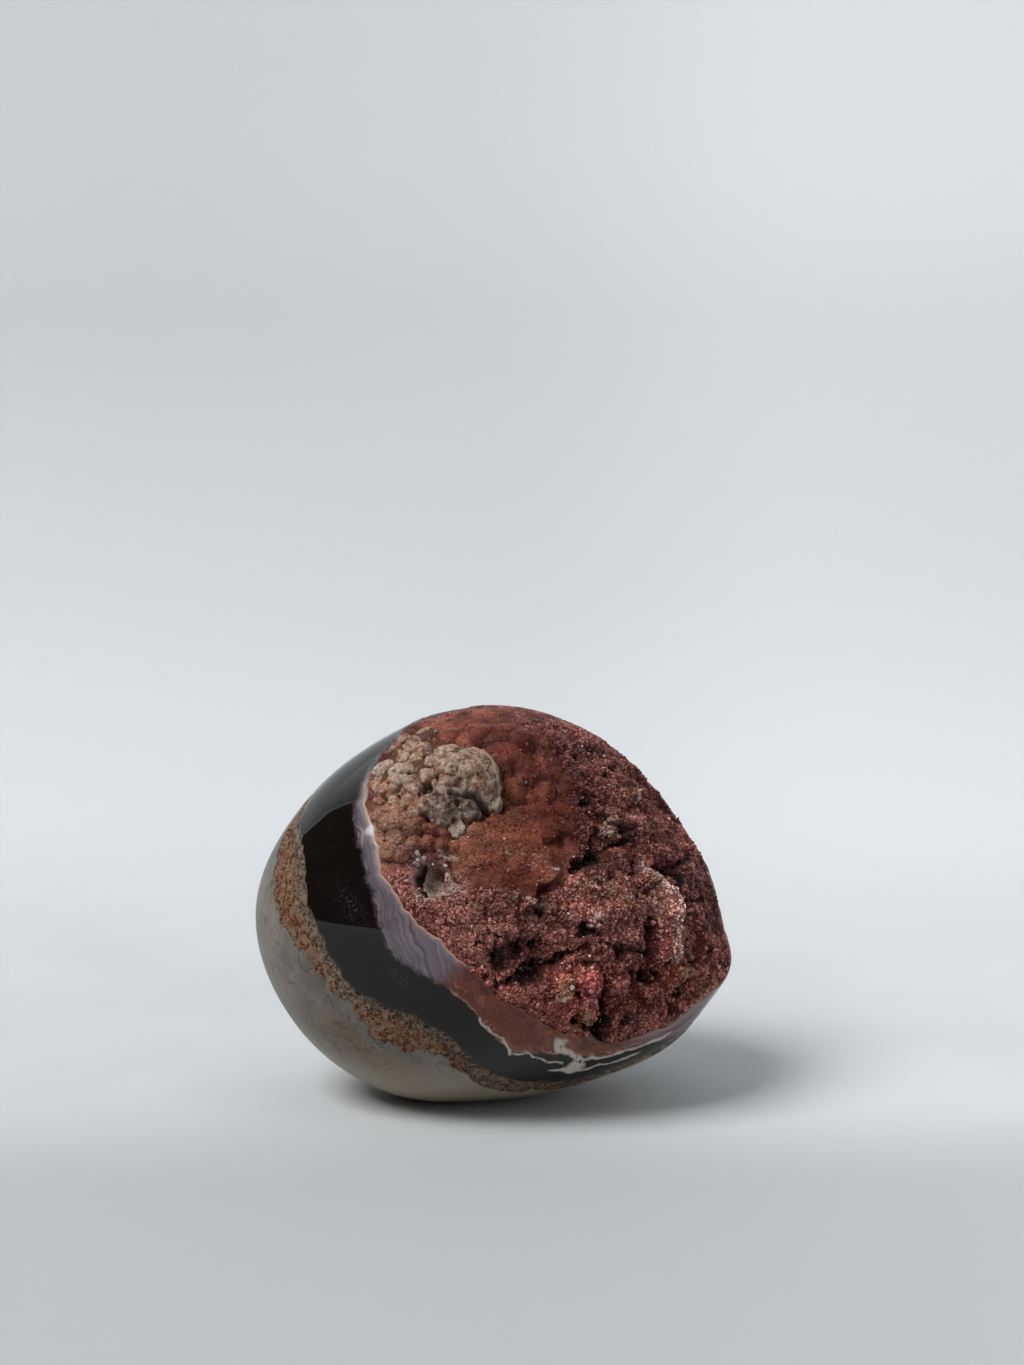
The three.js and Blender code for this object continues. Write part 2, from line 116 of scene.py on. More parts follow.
LUMP_HOLES = [
    (-21.5, 16.2, 0.35), (-19.7, 14.9, 0.4), (-18.9, 22.8, 0.7), (-14.3, 7.6, 0.6), (-12.2, 8.0, 0.45),
    (-11.3, 7.2, 0.6), (-20.2, 17.9, 0.25), (-22.9, 16.3, 0.25), (-16.0, 12.0, 0.3), (-10.6, 10.6, 0.25),
    (-9.3, 10.6, 0.25), (-17.6, 19.6, 0.3), (-16.9, 16.9, 0.25), (-19.4, 10.2, 0.3), (-24.9, 13.4, 0.25),
]
LUMP_CLEFT = [(-15.0, 8.8), (-13.4, 8.2), (-12.2, 8.0), (-11.4, 7.2), (-10.6, 6.4)]
EAR_RIDGES = [
    [(-12.3, 18.3), (-10.1, 17.6), (-8.0, 15.0), (-7.8, 11.3), (-8.1, 8.4), (-9.0, 6.4)],
    [(-11.8, 15.6), (-10.3, 13.4), (-9.5, 11.2), (-9.1, 9.2)],
    [(-13.2, 14.0), (-12.5, 12.2), (-12.4, 10.2), (-13.2, 8.2)],
]

# Rounded lobes of the smooth part of the face: u, v, half width, height.
LOBES = [
    (-5.9, 5.3, 3.1, 1.7), (-4.9, 11.2, 2.6, 1.4), (-2.2, 9.4, 1.6, 1.0), (-8.9, 4.5, 2.4, 1.6),
    (-3.0, 3.3, 1.9, 1.0), (-7.7, 0.7, 2.1, 1.2), (-4.7, 0.0, 1.8, 0.9), (-10.6, 1.0, 1.6, 0.9),
    (-14.1, 0.9, 2.2, 1.2), (-16.8, 1.9, 1.5, 0.9), (-18.7, 2.7, 1.5, 1.1), (-12.0, -1.4, 1.6, 1.0),
    (-14.4, -1.6, 1.7, 1.0), (-11.8, -4.6, 2.6, 1.1), (-15.4, -3.4, 2.3, 1.0), (-5.1, 14.8, 1.6, 1.1),
    (-3.0, 13.6, 1.4, 0.9), (-4.6, 19.2, 3.2, 1.1), (-1.6, 16.8, 2.6, 1.0), (-11.5, 25.4, 2.6, 1.0),
    (-9.4, 22.6, 2.4, 1.0), (-6.3, 24.8, 2.4, 0.9), (-2.2, 25.0, 2.2, 0.8), (-0.2, 21.2, 2.2, 0.8),
    (-25.4, 7.9, 1.9, 1.1), (-25.2, 5.0, 1.7, 1.0), (-26.8, 3.1, 1.6, 0.9), (-24.9, 2.4, 1.5, 0.9),
    (-23.6, 9.3, 1.3, 0.9), (-22.5, 5.9, 1.5, 1.0), (-22.7, 3.4, 1.3, 0.9), (-19.8, 5.4, 1.6, 1.2),
    (-12.6, 3.8, 1.8, 1.0), (-0.8, 6.7, 2.2, 1.0), (-7.1, -2.4, 2.0, 0.9), (-9.4, -2.4, 1.6, 0.9),
    (0.8, 10.2, 2.0, 0.8), (0.9, 14.0, 2.2, 0.8), (-1.0, 3.2, 1.7, 0.8), (1.6, 4.4, 1.6, 0.7),
    (-20.9, 7.6, 1.4, 1.0), (-24.0, 7.0, 1.2, 1.0), (-18.0, 4.6, 1.1, 0.9), (-20.6, 3.4, 1.3, 0.9),
    (-13.2, -6.8, 2.0, 0.7), (-8.6, -6.2, 2.2, 0.7), (-3.6, -3.4, 1.9, 0.7), (-26.6, 10.0, 1.3, 0.9),
]

# Hollows of the druse: u, v, half width, depth.
HOLLOWS = [
    (5.5, -2.2, 1.7, 1.6), (5.9, -0.1, 0.9, 1.4), (17.8, 7.6, 1.4, 1.6), (18.7, 6.3, 0.8, 1.4),
    (20.5, -5.0, 1.8, 2.0), (20.7, -7.4, 1.3, 2.4), (21.0, -11.7, 0.7, 1.4), (-6.3, -18.9, 1.9, 2.4),
    (-7.7, -20.1, 1.4, 2.2), (-4.7, -18.2, 1.2, 1.8), (-10.0, -20.4, 0.9, 1.4), (-12.7, -16.5, 0.9, 1.4),
    (-11.2, -17.3, 2.2, 1.2), (-8.6, -15.3, 2.0, 1.1), (6.3, -27.5, 1.6, 3.0), (6.4, -29.5, 1.6, 3.0),
    (1.7, -26.6, 0.9, 2.4), (4.1, -27.2, 0.8, 2.0), (6.0, -24.9, 1.1, 1.8), (1.1, -23.5, 0.7, 1.6),
    (17.2, -20.0, 0.9, 1.4), (20.3, -19.1, 0.9, 1.6), (18.5, -24.0, 0.9, 1.4), (21.5, -23.7, 1.0, 1.6),
    (18.9, -25.9, 1.1, 1.4), (26.6, -7.8, 1.2, 1.6), (24.8, -2.1, 0.8, 1.2), (-11.9, -20.9, 0.8, 1.2),
    (-13.8, -19.8, 0.9, 1.0), (13.4, -17.7, 0.9, 2.0), (13.0, -21.2, 1.1, 2.4), (15.0, -21.7, 0.9, 1.6),
    (-5.5, -14.5, 0.9, 1.2), (-4.3, -10.5, 1.2, 0.9), (1.7, -14.7, 1.5, 1.5), (3.0, -15.2, 1.0, 1.2),
    (7.9, -18.2, 1.3, 1.5), (-2.0, -17.7, 1.2, 1.3), (10.5, -21.6, 1.0, 1.6), (9.6, -26.5, 1.2, 1.0),
    (12.0, 12.5, 1.2, 1.6), (6.1, 6.9, 1.6, 1.4), (8.8, 6.5, 0.9, 1.0), (14.3, 14.1, 1.3, 1.4),
    (7.1, 16.0, 1.0, 0.9), (11.6, 17.4, 1.4, 0.8), (1.0, 18.7, 1.5, 0.8), (-0.3, 16.4, 1.3, 1.0),
    (18.3, -3.7, 1.0, 1.2), (16.1, -1.7, 0.9, 0.9), (16.6, 1.6, 0.7, 1.0), (2.6, -3.4, 1.0, 1.4),
    (12.0, -0.2, 0.9, 1.6), (12.6, 1.4, 0.7, 1.6), (26.7, -16.7, 1.4, 1.4), (29.4, -19.0, 1.0, 1.2),
]

# Narrow clefts between the druse's blocks: points, half width, depth.
CLEFTS = [
    ([(14.2, -13.3), (13.6, -15.3), (12.6, -17.3), (12.5, -19.5), (13.0, -21.2), (15.0, -22.0)], 0.6, 1.7),
    ([(7.0, 2.4), (6.1, -0.1), (5.2, -2.5), (3.0, -3.8), (1.9, -5.1)], 0.6, 1.3),
    ([(6.1, -22.6), (6.1, -24.9), (6.3, -27.5), (6.6, -30.0)], 0.7, 1.6),
    ([(12.5, 3.3), (11.6, 0.2), (9.4, -0.2)], 0.5, 1.3),
    ([(-11.8, -20.5), (-8.8, -19.9), (-6.3, -19.0), (-3.8, -17.8), (-1.3, -17.9), (1.3, -17.1)], 0.7, 1.3),
    ([(20.6, -4.6), (22.2, -3.7), (25.6, -1.5), (30.4, 2.1)], 0.6, 1.3),
    ([(-12.8, -16.5), (-11.8, -13.5)], 0.6, 1.0),
    ([(20.8, -8.0), (22.4, -8.6), (26.4, -8.4), (30.0, -6.2)], 0.6, 1.5),
    ([(18.7, -23.1), (21.1, -24.0), (19.7, -25.7), (22.4, -26.8)], 0.5, 1.2),
    ([(17.2, 15.0), (19.4, 11.0), (18.6, 7.2), (19.2, 4.4)], 0.5, 1.1),
    ([(-3.6, -10.6), (-6.4, -9.8), (-8.4, -10.6)], 0.5, 0.7),
    ([(18.6, -18.8), (21.0, -18.7), (24.6, -18.2)], 0.5, 1.2),
    ([(2.0, -14.0), (5.6, -16.8), (8.6, -18.4), (11.8, -18.6)], 0.5, 0.9),
    ([(-21.6, -0.6), (-22.5, -2.4), (-22.4, -4.4), (-21.6, -5.6)], 0.7, 1.7),
]

# Blocks and knobs of the druse: u, v, half width, height.
KNOBS = [
    (13.6, 2.6, 2.0, 1.7), (9.4, 1.6, 1.1, 1.5), (9.9, 3.7, 1.0, 1.2), (19.3, 12.4, 1.2, 1.2),
    (17.8, 9.8, 1.0, 1.4), (22.6, 5.0, 3.0, 1.1), (17.6, -2.9, 2.4, 1.1), (11.7, -4.1, 2.2, 0.9),
    (29.3, 0.8, 1.7, 1.3), (27.6, -3.6, 2.2, 1.3), (24.5, -6.0, 1.8, 0.9), (27.1, -10.0, 2.4, 1.3),
    (23.3, -11.8, 2.0, 1.0), (29.6, -13.5, 2.0, 0.9), (28.9, -18.0, 1.6, 1.0), (20.9, -15.7, 1.5, 1.4),
    (18.8, -21.2, 1.3, 1.2), (22.5, -21.2, 2.2, 1.4), (18.5, -22.5, 1.4, 0.9), (9.0, -6.5, 1.6, 0.9),
    (10.8, -10.8, 3.0, 1.1), (5.8, -12.6, 2.6, 1.2), (2.6, -12.2, 1.5, 0.9), (4.6, -18.2, 2.0, 1.1),
    (-1.5, -15.0, 2.0, 1.0), (10.6, -16.0, 2.0, 1.0), (3.7, -21.5, 2.4, 1.1), (8.8, -22.0, 1.8, 1.2),
    (14.6, -23.9, 2.2, 1.2), (10.8, -27.4, 2.8, 1.5), (14.9, -26.8, 2.0, 1.0), (15.9, -14.9, 1.6, 0.9),
    (-0.5, -24.6, 2.0, 0.9), (2.9, -25.4, 1.2, 1.5), (-1.2, -21.7, 1.8, 1.3), (-8.1, -22.4, 2.2, 0.9),
    (-13.7, -8.5, 3.4, 0.9), (-17.0, -10.3, 2.8, 0.9), (-10.1, -12.0, 2.4, 1.0), (-6.0, -12.6, 1.9, 0.9),
    (-13.4, -13.4, 2.0, 0.8), (-9.6, -18.9, 1.2, 0.7), (-0.8, -9.4, 2.6, 0.9), (8.9, 9.8, 2.0, 0.9),
    (6.2, 11.6, 2.0, 0.7), (16.6, 17.7, 2.2, 0.9), (18.9, 14.9, 1.3, 0.8), (14.1, 8.3, 1.5, 1.1),
    (9.2, 4.9, 1.3, 0.8), (3.2, 3.2, 2.4, 0.9), (3.1, -1.0, 1.8, 0.8), (6.9, -5.4, 2.0, 0.9),
    (12.4, 22.4, 3.0, 0.9), (17.6, 21.2, 2.2, 0.8), (4.4, 15.0, 2.4, 0.8), (3.4, 21.4, 2.6, 0.8),
    (14.8, -8.2, 2.2, 0.8), (7.6, 20.0, 2.2, 0.8), (-4.4, -22.4, 1.8, 0.9), (-16.8, -13.6, 2.0, 0.7),
]
LIP_LINE = [
    (14.7, -4.5), (15.7, -5.9), (17.4, -7.2), (18.9, -8.6), (19.9, -10.0), (19.6, -11.8), (19.2, -13.5),
    (18.3, -15.7), (17.5, -17.8), (17.6, -19.3),
]

# Where the zones of the polished surface end, in degrees beyond the rim, every 15 degrees round it.
VEIL_END = [
    0.6, 0.6, 0.8, 0.8, 0.8, 0.8, 0.8, 0.8, 0.8, 0.8, 2.4, 6.0,
    5.0, 9.0, 13.4, 9.4, 8.8, 13.6, 8.4, 5.8, 4.4, 9.0, 10.0, 5.0,
]
BLACK_END = [
    8, 9, 11, 13, 15, 18, 20, 22, 23.5, 24.5, 25, 23.3,
    23.8, 27.2, 29, 23.3, 21.2, 26.0, 24.0, 20.0, 12.5, 9.5, 10.5, 8,
]
BAND_END = [
    14, 14, 16, 18, 20, 23, 25, 27, 28, 28.5, 29, 34.5,
    34.5, 34, 35, 36.5, 27.5, 33.5, 31, 26, 17, 13, 12, 13,
]
# White veins of the polished side: turn round the face and degrees beyond the rim, and half width.
WHITE_LINES = [
    ([(258, 14.3), (263, 12.8), (268, 11.7), (274, 12.5)], 0.22),
    ([(271, 4.0), (273, 7.0), (278, 8.0), (280, 10.5), (278, 14.6)], 1.0),
    ([(280, 9.0), (285, 6.8), (290, 5.0), (297, 4.8), (305, 3.8)], 0.45),
    ([(273, 17.0), (278, 14.6), (286, 11.0), (297, 8.0)], 0.35),
    ([(242, 9.4), (245, 10.5), (248, 11.4), (252, 12.6), (255, 14.0), (257, 15.1)], 0.28),
]
MM_PER_DEGREE = 0.62
RIM_MM_PER_DEGREE = 0.44

# Colours of the face by place: u, v, reach, weight, sRGB colour.
FACE_TINTS = [
    (-25, 8.4, 2.4, 1.8, (178, 134, 110)), (-25, 4.4, 2.2, 1.8, (172, 132, 108)),
    (-27, 2.4, 1.8, 1.6, (160, 118, 82)), (-22.6, 5, 2.4, 1.6, (150, 106, 90)),
    (-23.4, 1, 2.0, 1.8, (158, 102, 94)), (-25.4, -2.6, 2.2, 2.2, (156, 92, 82)),
    (-17.2, -1.2, 1.4, 2.2, (150, 84, 52)), (-18.6, 3, 1.4, 1.8, (140, 80, 68)),
    (-20.2, 6.4, 1.4, 1.8, (118, 78, 48)), (-21.5, -9.5, 3.4, 1.5, (136, 84, 74)),
    (-14, 1.2, 2.6, 1.6, (148, 92, 68)), (-16, -3, 3.0, 1.5, (142, 82, 60)),
    (-11.6, -4.6, 3.0, 1.5, (130, 72, 58)), (-7.5, -4.5, 3.0, 1.4, (124, 68, 54)),
    (-9, 3.6, 2.4, 1.6, (132, 80, 56)), (-12.5, 3.4, 2.0, 1.4, (146, 106, 84)),
    (-5.6, 5.6, 3.2, 2.2, (102, 58, 42)), (-4.4, 11.4, 2.6, 2.0, (100, 56, 42)),
    (-0.6, 6.2, 2.4, 1.8, (116, 44, 28)), (-4.5, 0, 2.4, 1.6, (126, 70, 50)),
    (-7, 0.4, 2.4, 1.4, (136, 88, 68)), (-2.4, 17.6, 3.2, 1.8, (106, 46, 34)),
    (-4.6, 20.4, 2.8, 1.6, (100, 48, 38)), (-10.4, 24.6, 3.2, 1.8, (134, 76, 60)),
    (-5.6, 25.4, 3.0, 1.4, (112, 54, 44)), (3, 27, 4.0, 1.0, (102, 40, 36)),
    (5, 21, 3.4, 0.9, (116, 66, 60)), (14, 14, 6.0, 0.7, (118, 72, 64)),
    (-15, -11, 4.6, 1.1, (146, 100, 92)), (8, -13.6, 4.6, 1.1, (138, 98, 92)),
    (-7, -17, 3.4, 1.2, (84, 38, 30)), (0, -24, 3.6, 1.4, (142, 58, 44)),
    (-0.8, -21.6, 1.7, 1.6, (164, 112, 66)), (3.4, -26.3, 1.4, 1.8, (150, 98, 66)),
    (1.6, -28.4, 1.3, 2.4, (172, 88, 62)), (3.4, -22.6, 2.2, 2.2, (158, 76, 72)),
    (11, -25, 3.6, 1.1, (118, 70, 56)), (21.9, -15.3, 1.5, 2.4, (150, 98, 64)),
    (19.4, -20.6, 1.6, 2.0, (142, 82, 58)), (23, -20.4, 2.0, 2.0, (128, 64, 46)),
    (24, -10, 3.4, 0.9, (130, 66, 58)), (27, -24, 2.4, 1.2, (142, 120, 100)),
    (18.4, 10.6, 1.1, 3.2, (168, 134, 112)), (9.4, 2.4, 1.3, 2.6, (176, 146, 134)),
    (12.6, 7.6, 1.2, 1.4, (166, 128, 108)), (13.6, 2.8, 1.9, 1.2, (140, 94, 90)),
    (22.4, 5.4, 3.0, 1.4, (146, 92, 78)), (28.6, 1.0, 1.4, 2.6, (178, 120, 92)),
    (27, -3.4, 2.0, 1.4, (150, 106, 98)), (17.0, -8.4, 2.4, 1.4, (180, 134, 124)),
    (26, -9, 2.4, 1.0, (140, 84, 74)), (6, -8, 2.2, 0.9, (146, 112, 92)),
    (-20.0, -3.6, 2.0, 12.0, (180, 172, 162)), (7.4, -3.0, 2.8, 2.2, (66, 30, 24)),
    (2, -9, 5.0, 1.0, (156, 112, 102)), (-6, -20.6, 3.6, 1.2, (136, 78, 62)),
    (-4, -15, 4.0, 1.2, (140, 90, 80)), (5, 9, 4.6, 1.4, (86, 38, 30)),
    (16.4, -10.6, 2.6, 1.2, (176, 134, 126)), (12, 18, 4.0, 0.8, (130, 92, 88)),
    (2, 0.6, 3.0, 1.4, (92, 40, 30)), (18, -22, 3.0, 1.0, (104, 50, 40)),
    (17.4, -9.8, 1.6, 2.4, (222, 190, 180)), (9.2, -14.8, 3.0, 1.0, (148, 104, 96)),
    (-0.6, -14.2, 2.6, 1.2, (98, 58, 50)), (-7.5, -10.2, 2.6, 1.0, (152, 104, 94)),
    (-5.6, -23.0, 3.2, 2.0, (152, 86, 70)), (12.6, -26.0, 3.6, 1.6, (128, 78, 66)),
]
# The druse's own two colours, and what is multiplied onto the druse and onto the smooth part.
DRUSE_DEEP = (92, 38, 30)
DRUSE_LIGHT = (168, 106, 94)
DRUSE_STAIN = np.array([1.02, 0.76, 0.66])
CALM_STAIN = np.array([0.92, 0.68, 0.56])


def linear(colour):
    """Linear colour from sRGB numbers of 0 to 255."""
    part = np.asarray(colour, float) / 255
    return np.where(part <= 0.04045, part / 12.92, ((part + 0.055) / 1.055) ** 2.4)


def unit(rows):
    return rows / np.linalg.norm(rows, axis=1, keepdims=True)


def smooth(value, low, high):
    part = np.clip((value - low) / (high - low), 0, 1)
    return part * part * (3 - 2 * part)


def ring_value(values, angle):
    """Smooth value round a closed ring of evenly spaced values."""
    values = np.asarray(values, float)
    count = len(values)
    place = (np.asarray(angle) / (2 * math.pi) % 1.0) * count
    first = np.floor(place).astype(int) % count
    t = place - np.floor(place)
    a, b, c, d = (values[(first + step) % count] for step in (-1, 0, 1, 2))
    return b + 0.5 * t * (c - a + t * (2 * a - 5 * b + 4 * c - d + t * (3 * (b - c) + d - a)))


def egg_radius(way):
    angle = np.arctan2(way[:, 2], way[:, 0])
    away = (np.degrees(angle) - CORNER["angle"] + 180) % 360 - 180
    outline = ring_value(OUTLINE, angle) + CORNER["rise"] * np.exp(-((away / CORNER["spread"]) ** 2))
    return 1 / np.hypot(np.hypot(way[:, 0], way[:, 2]) / outline, way[:, 1] / HALF_DEPTH)


def corner_value(x, y, z, salt=0):
    """Repeatable random number from 0 to 1 for a corner of the noise grid."""
    x, y, z = (part.astype(np.int64).astype(np.uint32) for part in (x, y, z))
    mixed = x * np.uint32(374761393) ^ y * np.uint32(668265263) ^ z * np.uint32(1442695041)
    mixed = mixed ^ np.uint32(salt * 7919)
    mixed = (mixed ^ (mixed >> np.uint32(13))) * np.uint32(1274126177)
    return (mixed ^ (mixed >> np.uint32(16))) / 4294967295.0


def noise(point, salt=0):
    """Smooth noise from -1 to 1."""
    low = np.floor(point)
    part = point - low
    ease = part * part * (3 - 2 * part)
    total = np.zeros(len(point))
    for corner in range(8):
        step = np.array([corner & 1, (corner >> 1) & 1, corner >> 2])
        weight = np.prod(np.where(step, ease, 1 - ease), axis=1)
        total += weight * corner_value(*(low + step).T, salt)
    return 2 * total - 1


def cells(point, salt=0):
    """Distances to the nearest and second nearest scattered points, and the nearest one's number."""
    low = np.floor(point)
    first = np.full(len(point), 9.0)
    second = first.copy()
    number = np.zeros(len(point))
    for i in (-1, 0, 1):
        for j in (-1, 0, 1):
            for k in (-1, 0, 1):
                cell = low + (i, j, k)
                x, y, z = cell.T
                seed = cell + np.stack([corner_value(x, y, z, salt + n) for n in (1, 2, 3)], axis=1)
                far = np.linalg.norm(point - seed, axis=1)
                nearer = far < first
                second = np.where(nearer, first, np.minimum(second, far))
                number = np.where(nearer, corner_value(x, y, z, salt + 4), number)
                first = np.minimum(first, far)
    return first, second, number


def bubbles(point, size, salt=0):
    """Round swellings that meet in creases, from 0 in the creases to 1."""
    near, _, _ = cells(point / size, salt)
    return np.sqrt(np.clip(1 - (near / 0.85) ** 2, 0, 1))


def rim_angle(turn):
    """Angle from the face axis to the rim, which wavers a little."""
    waver = np.zeros(np.shape(turn))
    for rate, amount in ((7, 0.2), (17, 0.35), (29, 0.25), (53, 0.2), (97, 0.12)):
        waver = waver + amount * np.sin(rate * turn + rate)
    return np.radians(ring_value(RIM, turn) + waver)


def face_way(angle, turn):
    """Unit directions at an angle from the face axis and a turn round it."""
    side = np.sin(angle)
    return (np.cos(angle)[:, None] * FACE_AXIS + (side * np.cos(turn))[:, None] * RIGHT
            + (side * np.sin(turn))[:, None] * UP)


def turn_and_angle(way):
    turn = np.arctan2(way @ UP, way @ RIGHT)
    return turn, np.arccos(np.clip(way @ FACE_AXIS, -1, 1))


def reach_to_rim(way):
    turn, angle = turn_and_angle(way)
    return angle / np.radians(ring_value(RIM, turn))


def even_radius(way):
    reach = np.minimum(reach_to_rim(way), 1)
    return egg_radius(way) - FACE_SINK * (1 - reach**2)


def line_distance(u, v, points):
    nearest = np.full(len(u), 1e9)
    for (u0, v0), (u1, v1) in zip(points, points[1:]):
        du, dv = u1 - u0, v1 - v0
        t = np.clip(((u - u0) * du + (v - v0) * dv) / (du * du + dv * dv), 0, 1)
        nearest = np.minimum(nearest, np.hypot(u - u0 - t * du, v - v0 - t * dv))
    return nearest


def ledge_drop(u, v):
    """How far the face lies below the ledge."""
    rows = [row[0] for row in LEDGE]
    past = u - np.interp(v, rows, [row[1] for row in LEDGE])
    drop = np.interp(v, rows, [row[2] for row in LEDGE], left=0, right=0)
    return drop * smooth(past, 0, LEDGE_WIDTH)


def relief(point):
    """Height of the main forms of the face above the even surface."""
    u, v = point @ RIGHT, point @ UP
    height = -ledge_drop(u, v)
    for u0, v0, along, across, rise in SWELLS:
        height += rise * np.exp(-(((u - u0) / along) ** 2) - ((v - v0) / across) ** 2)
    for u0, v0, along, across, depth in PITS:
        height -= depth * (1 - smooth(np.hypot((u - u0) / along, (v - v0) / across), 0.5, 1.1))
    for points, half, rise in CREASES:
        height += rise * np.exp(-((line_distance(u, v, points) / half) ** 2))
    for size, rise in ROUGHNESS:
        height += rise * noise(point / size)
    return height


def plain_radius(way):
    inside = smooth(1 - reach_to_rim(way), 0, RIM_FADE)
    even = even_radius(way)
    return even + inside * relief(way * even[:, None])


def way_at(u, v):
    """Direction from the centre to a place on the face. Each pass goes half of the way."""
    height = HALF_DEPTH / 2
    flat = u * RIGHT + v * UP
    for _ in range(PLACE_PASSES):
        way = unit((flat + height * FACE_AXIS)[None])
        wanted = math.sqrt(max(float(even_radius(way)[0]) ** 2 - u * u - v * v, 1))
        height = (height + wanted) / 2
    return unit((flat + height * FACE_AXIS)[None])[0]


def place_balls(rows):
    """Balls at u, v with a radius and the height of their tops above the face."""
    balls = []
    for u, v, radius, top in rows:
        way = way_at(u, v)
        balls.append((way * (float(plain_radius(way[None])[0]) + top - radius), radius))
    return balls


def place_caps(rows):
    """Balls whose caps have the given half width and height where they leave the face."""
    return place_balls([(u, v, (half**2 + rise**2) / (2 * rise), rise) for u, v, half, rise in rows])


def ball_reach(way, balls, warp, soft):
    """Distance to the outer side of balls whose meeting lines are filled, or 0 where all miss,
    and the difference between the two outermost balls."""
    first = np.zeros(len(way))
    second = np.zeros(len(way))
    total = np.zeros(len(way))
    bent = unit(way + warp)
    for centre, radius in balls:
        along = bent @ centre
        inside = radius**2 - (centre @ centre - along**2)
        hit = np.where(inside > 0, along + np.sqrt(np.maximum(inside, 0)), 0)
        second = np.maximum(second, np.minimum(first, hit))
        first = np.maximum(first, hit)
        total += np.exp((hit - EGG_MEAN) / soft)
    blend = np.where(first > 0, EGG_MEAN + soft * np.log(np.maximum(total, 1e-30)), 0)
    return blend, np.where(second > 0, first - second, first)


LOBE_BALLS = place_caps(LOBES)
KNOB_BALLS = place_caps(KNOBS)
BODY_BALLS = place_balls(LUMP_BODY)
NODULE_BALLS = place_balls(NODULES)


def bend(point, size, amount, salt):
    """A wandering offset that makes regular forms irregular."""
    return amount * np.stack([noise(point / size, salt + n) for n in range(3)], axis=1)


def nodular(u, v):
    """1 where the face is smooth and nodular, 0 where it is druse."""
    right_edge = np.interp(v, [-9, -6, 0, 6, 14, 22, 30], [-6, 2, 4, 4.5, 3.5, 3, -2])
    lower_edge = np.interp(u, [-30, -22, -17.6, -11.8, -4.8, 2], [-1, -5.5, -6.5, -6.7, -8.4, -7])
    return smooth(right_edge - u, -1.2, 1.2) * smooth(v - lower_edge, -0.8, 0.8)


def lump_radius(way, point, plain):
    """Outer side of the lump along each direction: flattened nodules on its body, or 0 beside it."""
    body = ball_reach(way, BODY_BALLS, bend(point, 2.6, 0.03, 131), 0.7)[0]
    small = ball_reach(way, NODULE_BALLS, bend(point, 1.5, 0.022, 135), 0.3)[0]
    under = np.maximum(body, plain)
    return np.where(small > under, under + NODULE_SHARE * (small - under), body)


def cave_depth(u, v):
    """How far hollows and clefts sink the druse, and the painted shade that darkens their inner sides and
    the pits.
    """
    drop = np.zeros(len(u))
    cave_shade = np.zeros(len(u))
    for u0, v0, half, depth in HOLLOWS:
        far = np.hypot(u - u0, v - v0)
        drop += depth * (1 - smooth(far, 0.3 * half, 1.1 * half))
        cave_shade = np.maximum(cave_shade, min(depth / 1.8, 1) * (1 - smooth(far, 0.55 * half, 1.15 * half)))
    for points, half, depth in CLEFTS:
        far = line_distance(u, v, points)
        drop += depth * (1 - smooth(far, 0.1, 1.3 * half))
        cave_shade = np.maximum(cave_shade, min(depth / 1.8, 1) * (1 - smooth(far, 0.25 * half, 1.3 * half)))
    for u0, v0, along, across, _ in PITS[1:]:
        far = np.hypot((u - u0) / along, (v - v0) / across)
        cave_shade = np.maximum(cave_shade, 1 - smooth(far, 0.5, 0.9))
    return np.minimum(drop, 3.4), cave_shade


def lip_rise(u, v):
    """The slope that climbs to the pale lip on the right and breaks off beyond it."""
    rows = LIP_LINE[::-1]
    across = u - np.interp(v, [row[1] for row in rows], [row[0] for row in rows])
    climb = np.where(across < 0, np.exp(-((across / 2.6) ** 2)), 1 - smooth(across, 0.0, 0.5))
    return 1.5 * climb * smooth(v, -20.5, -18.0) * (1 - smooth(v, -6.0, -4.0))


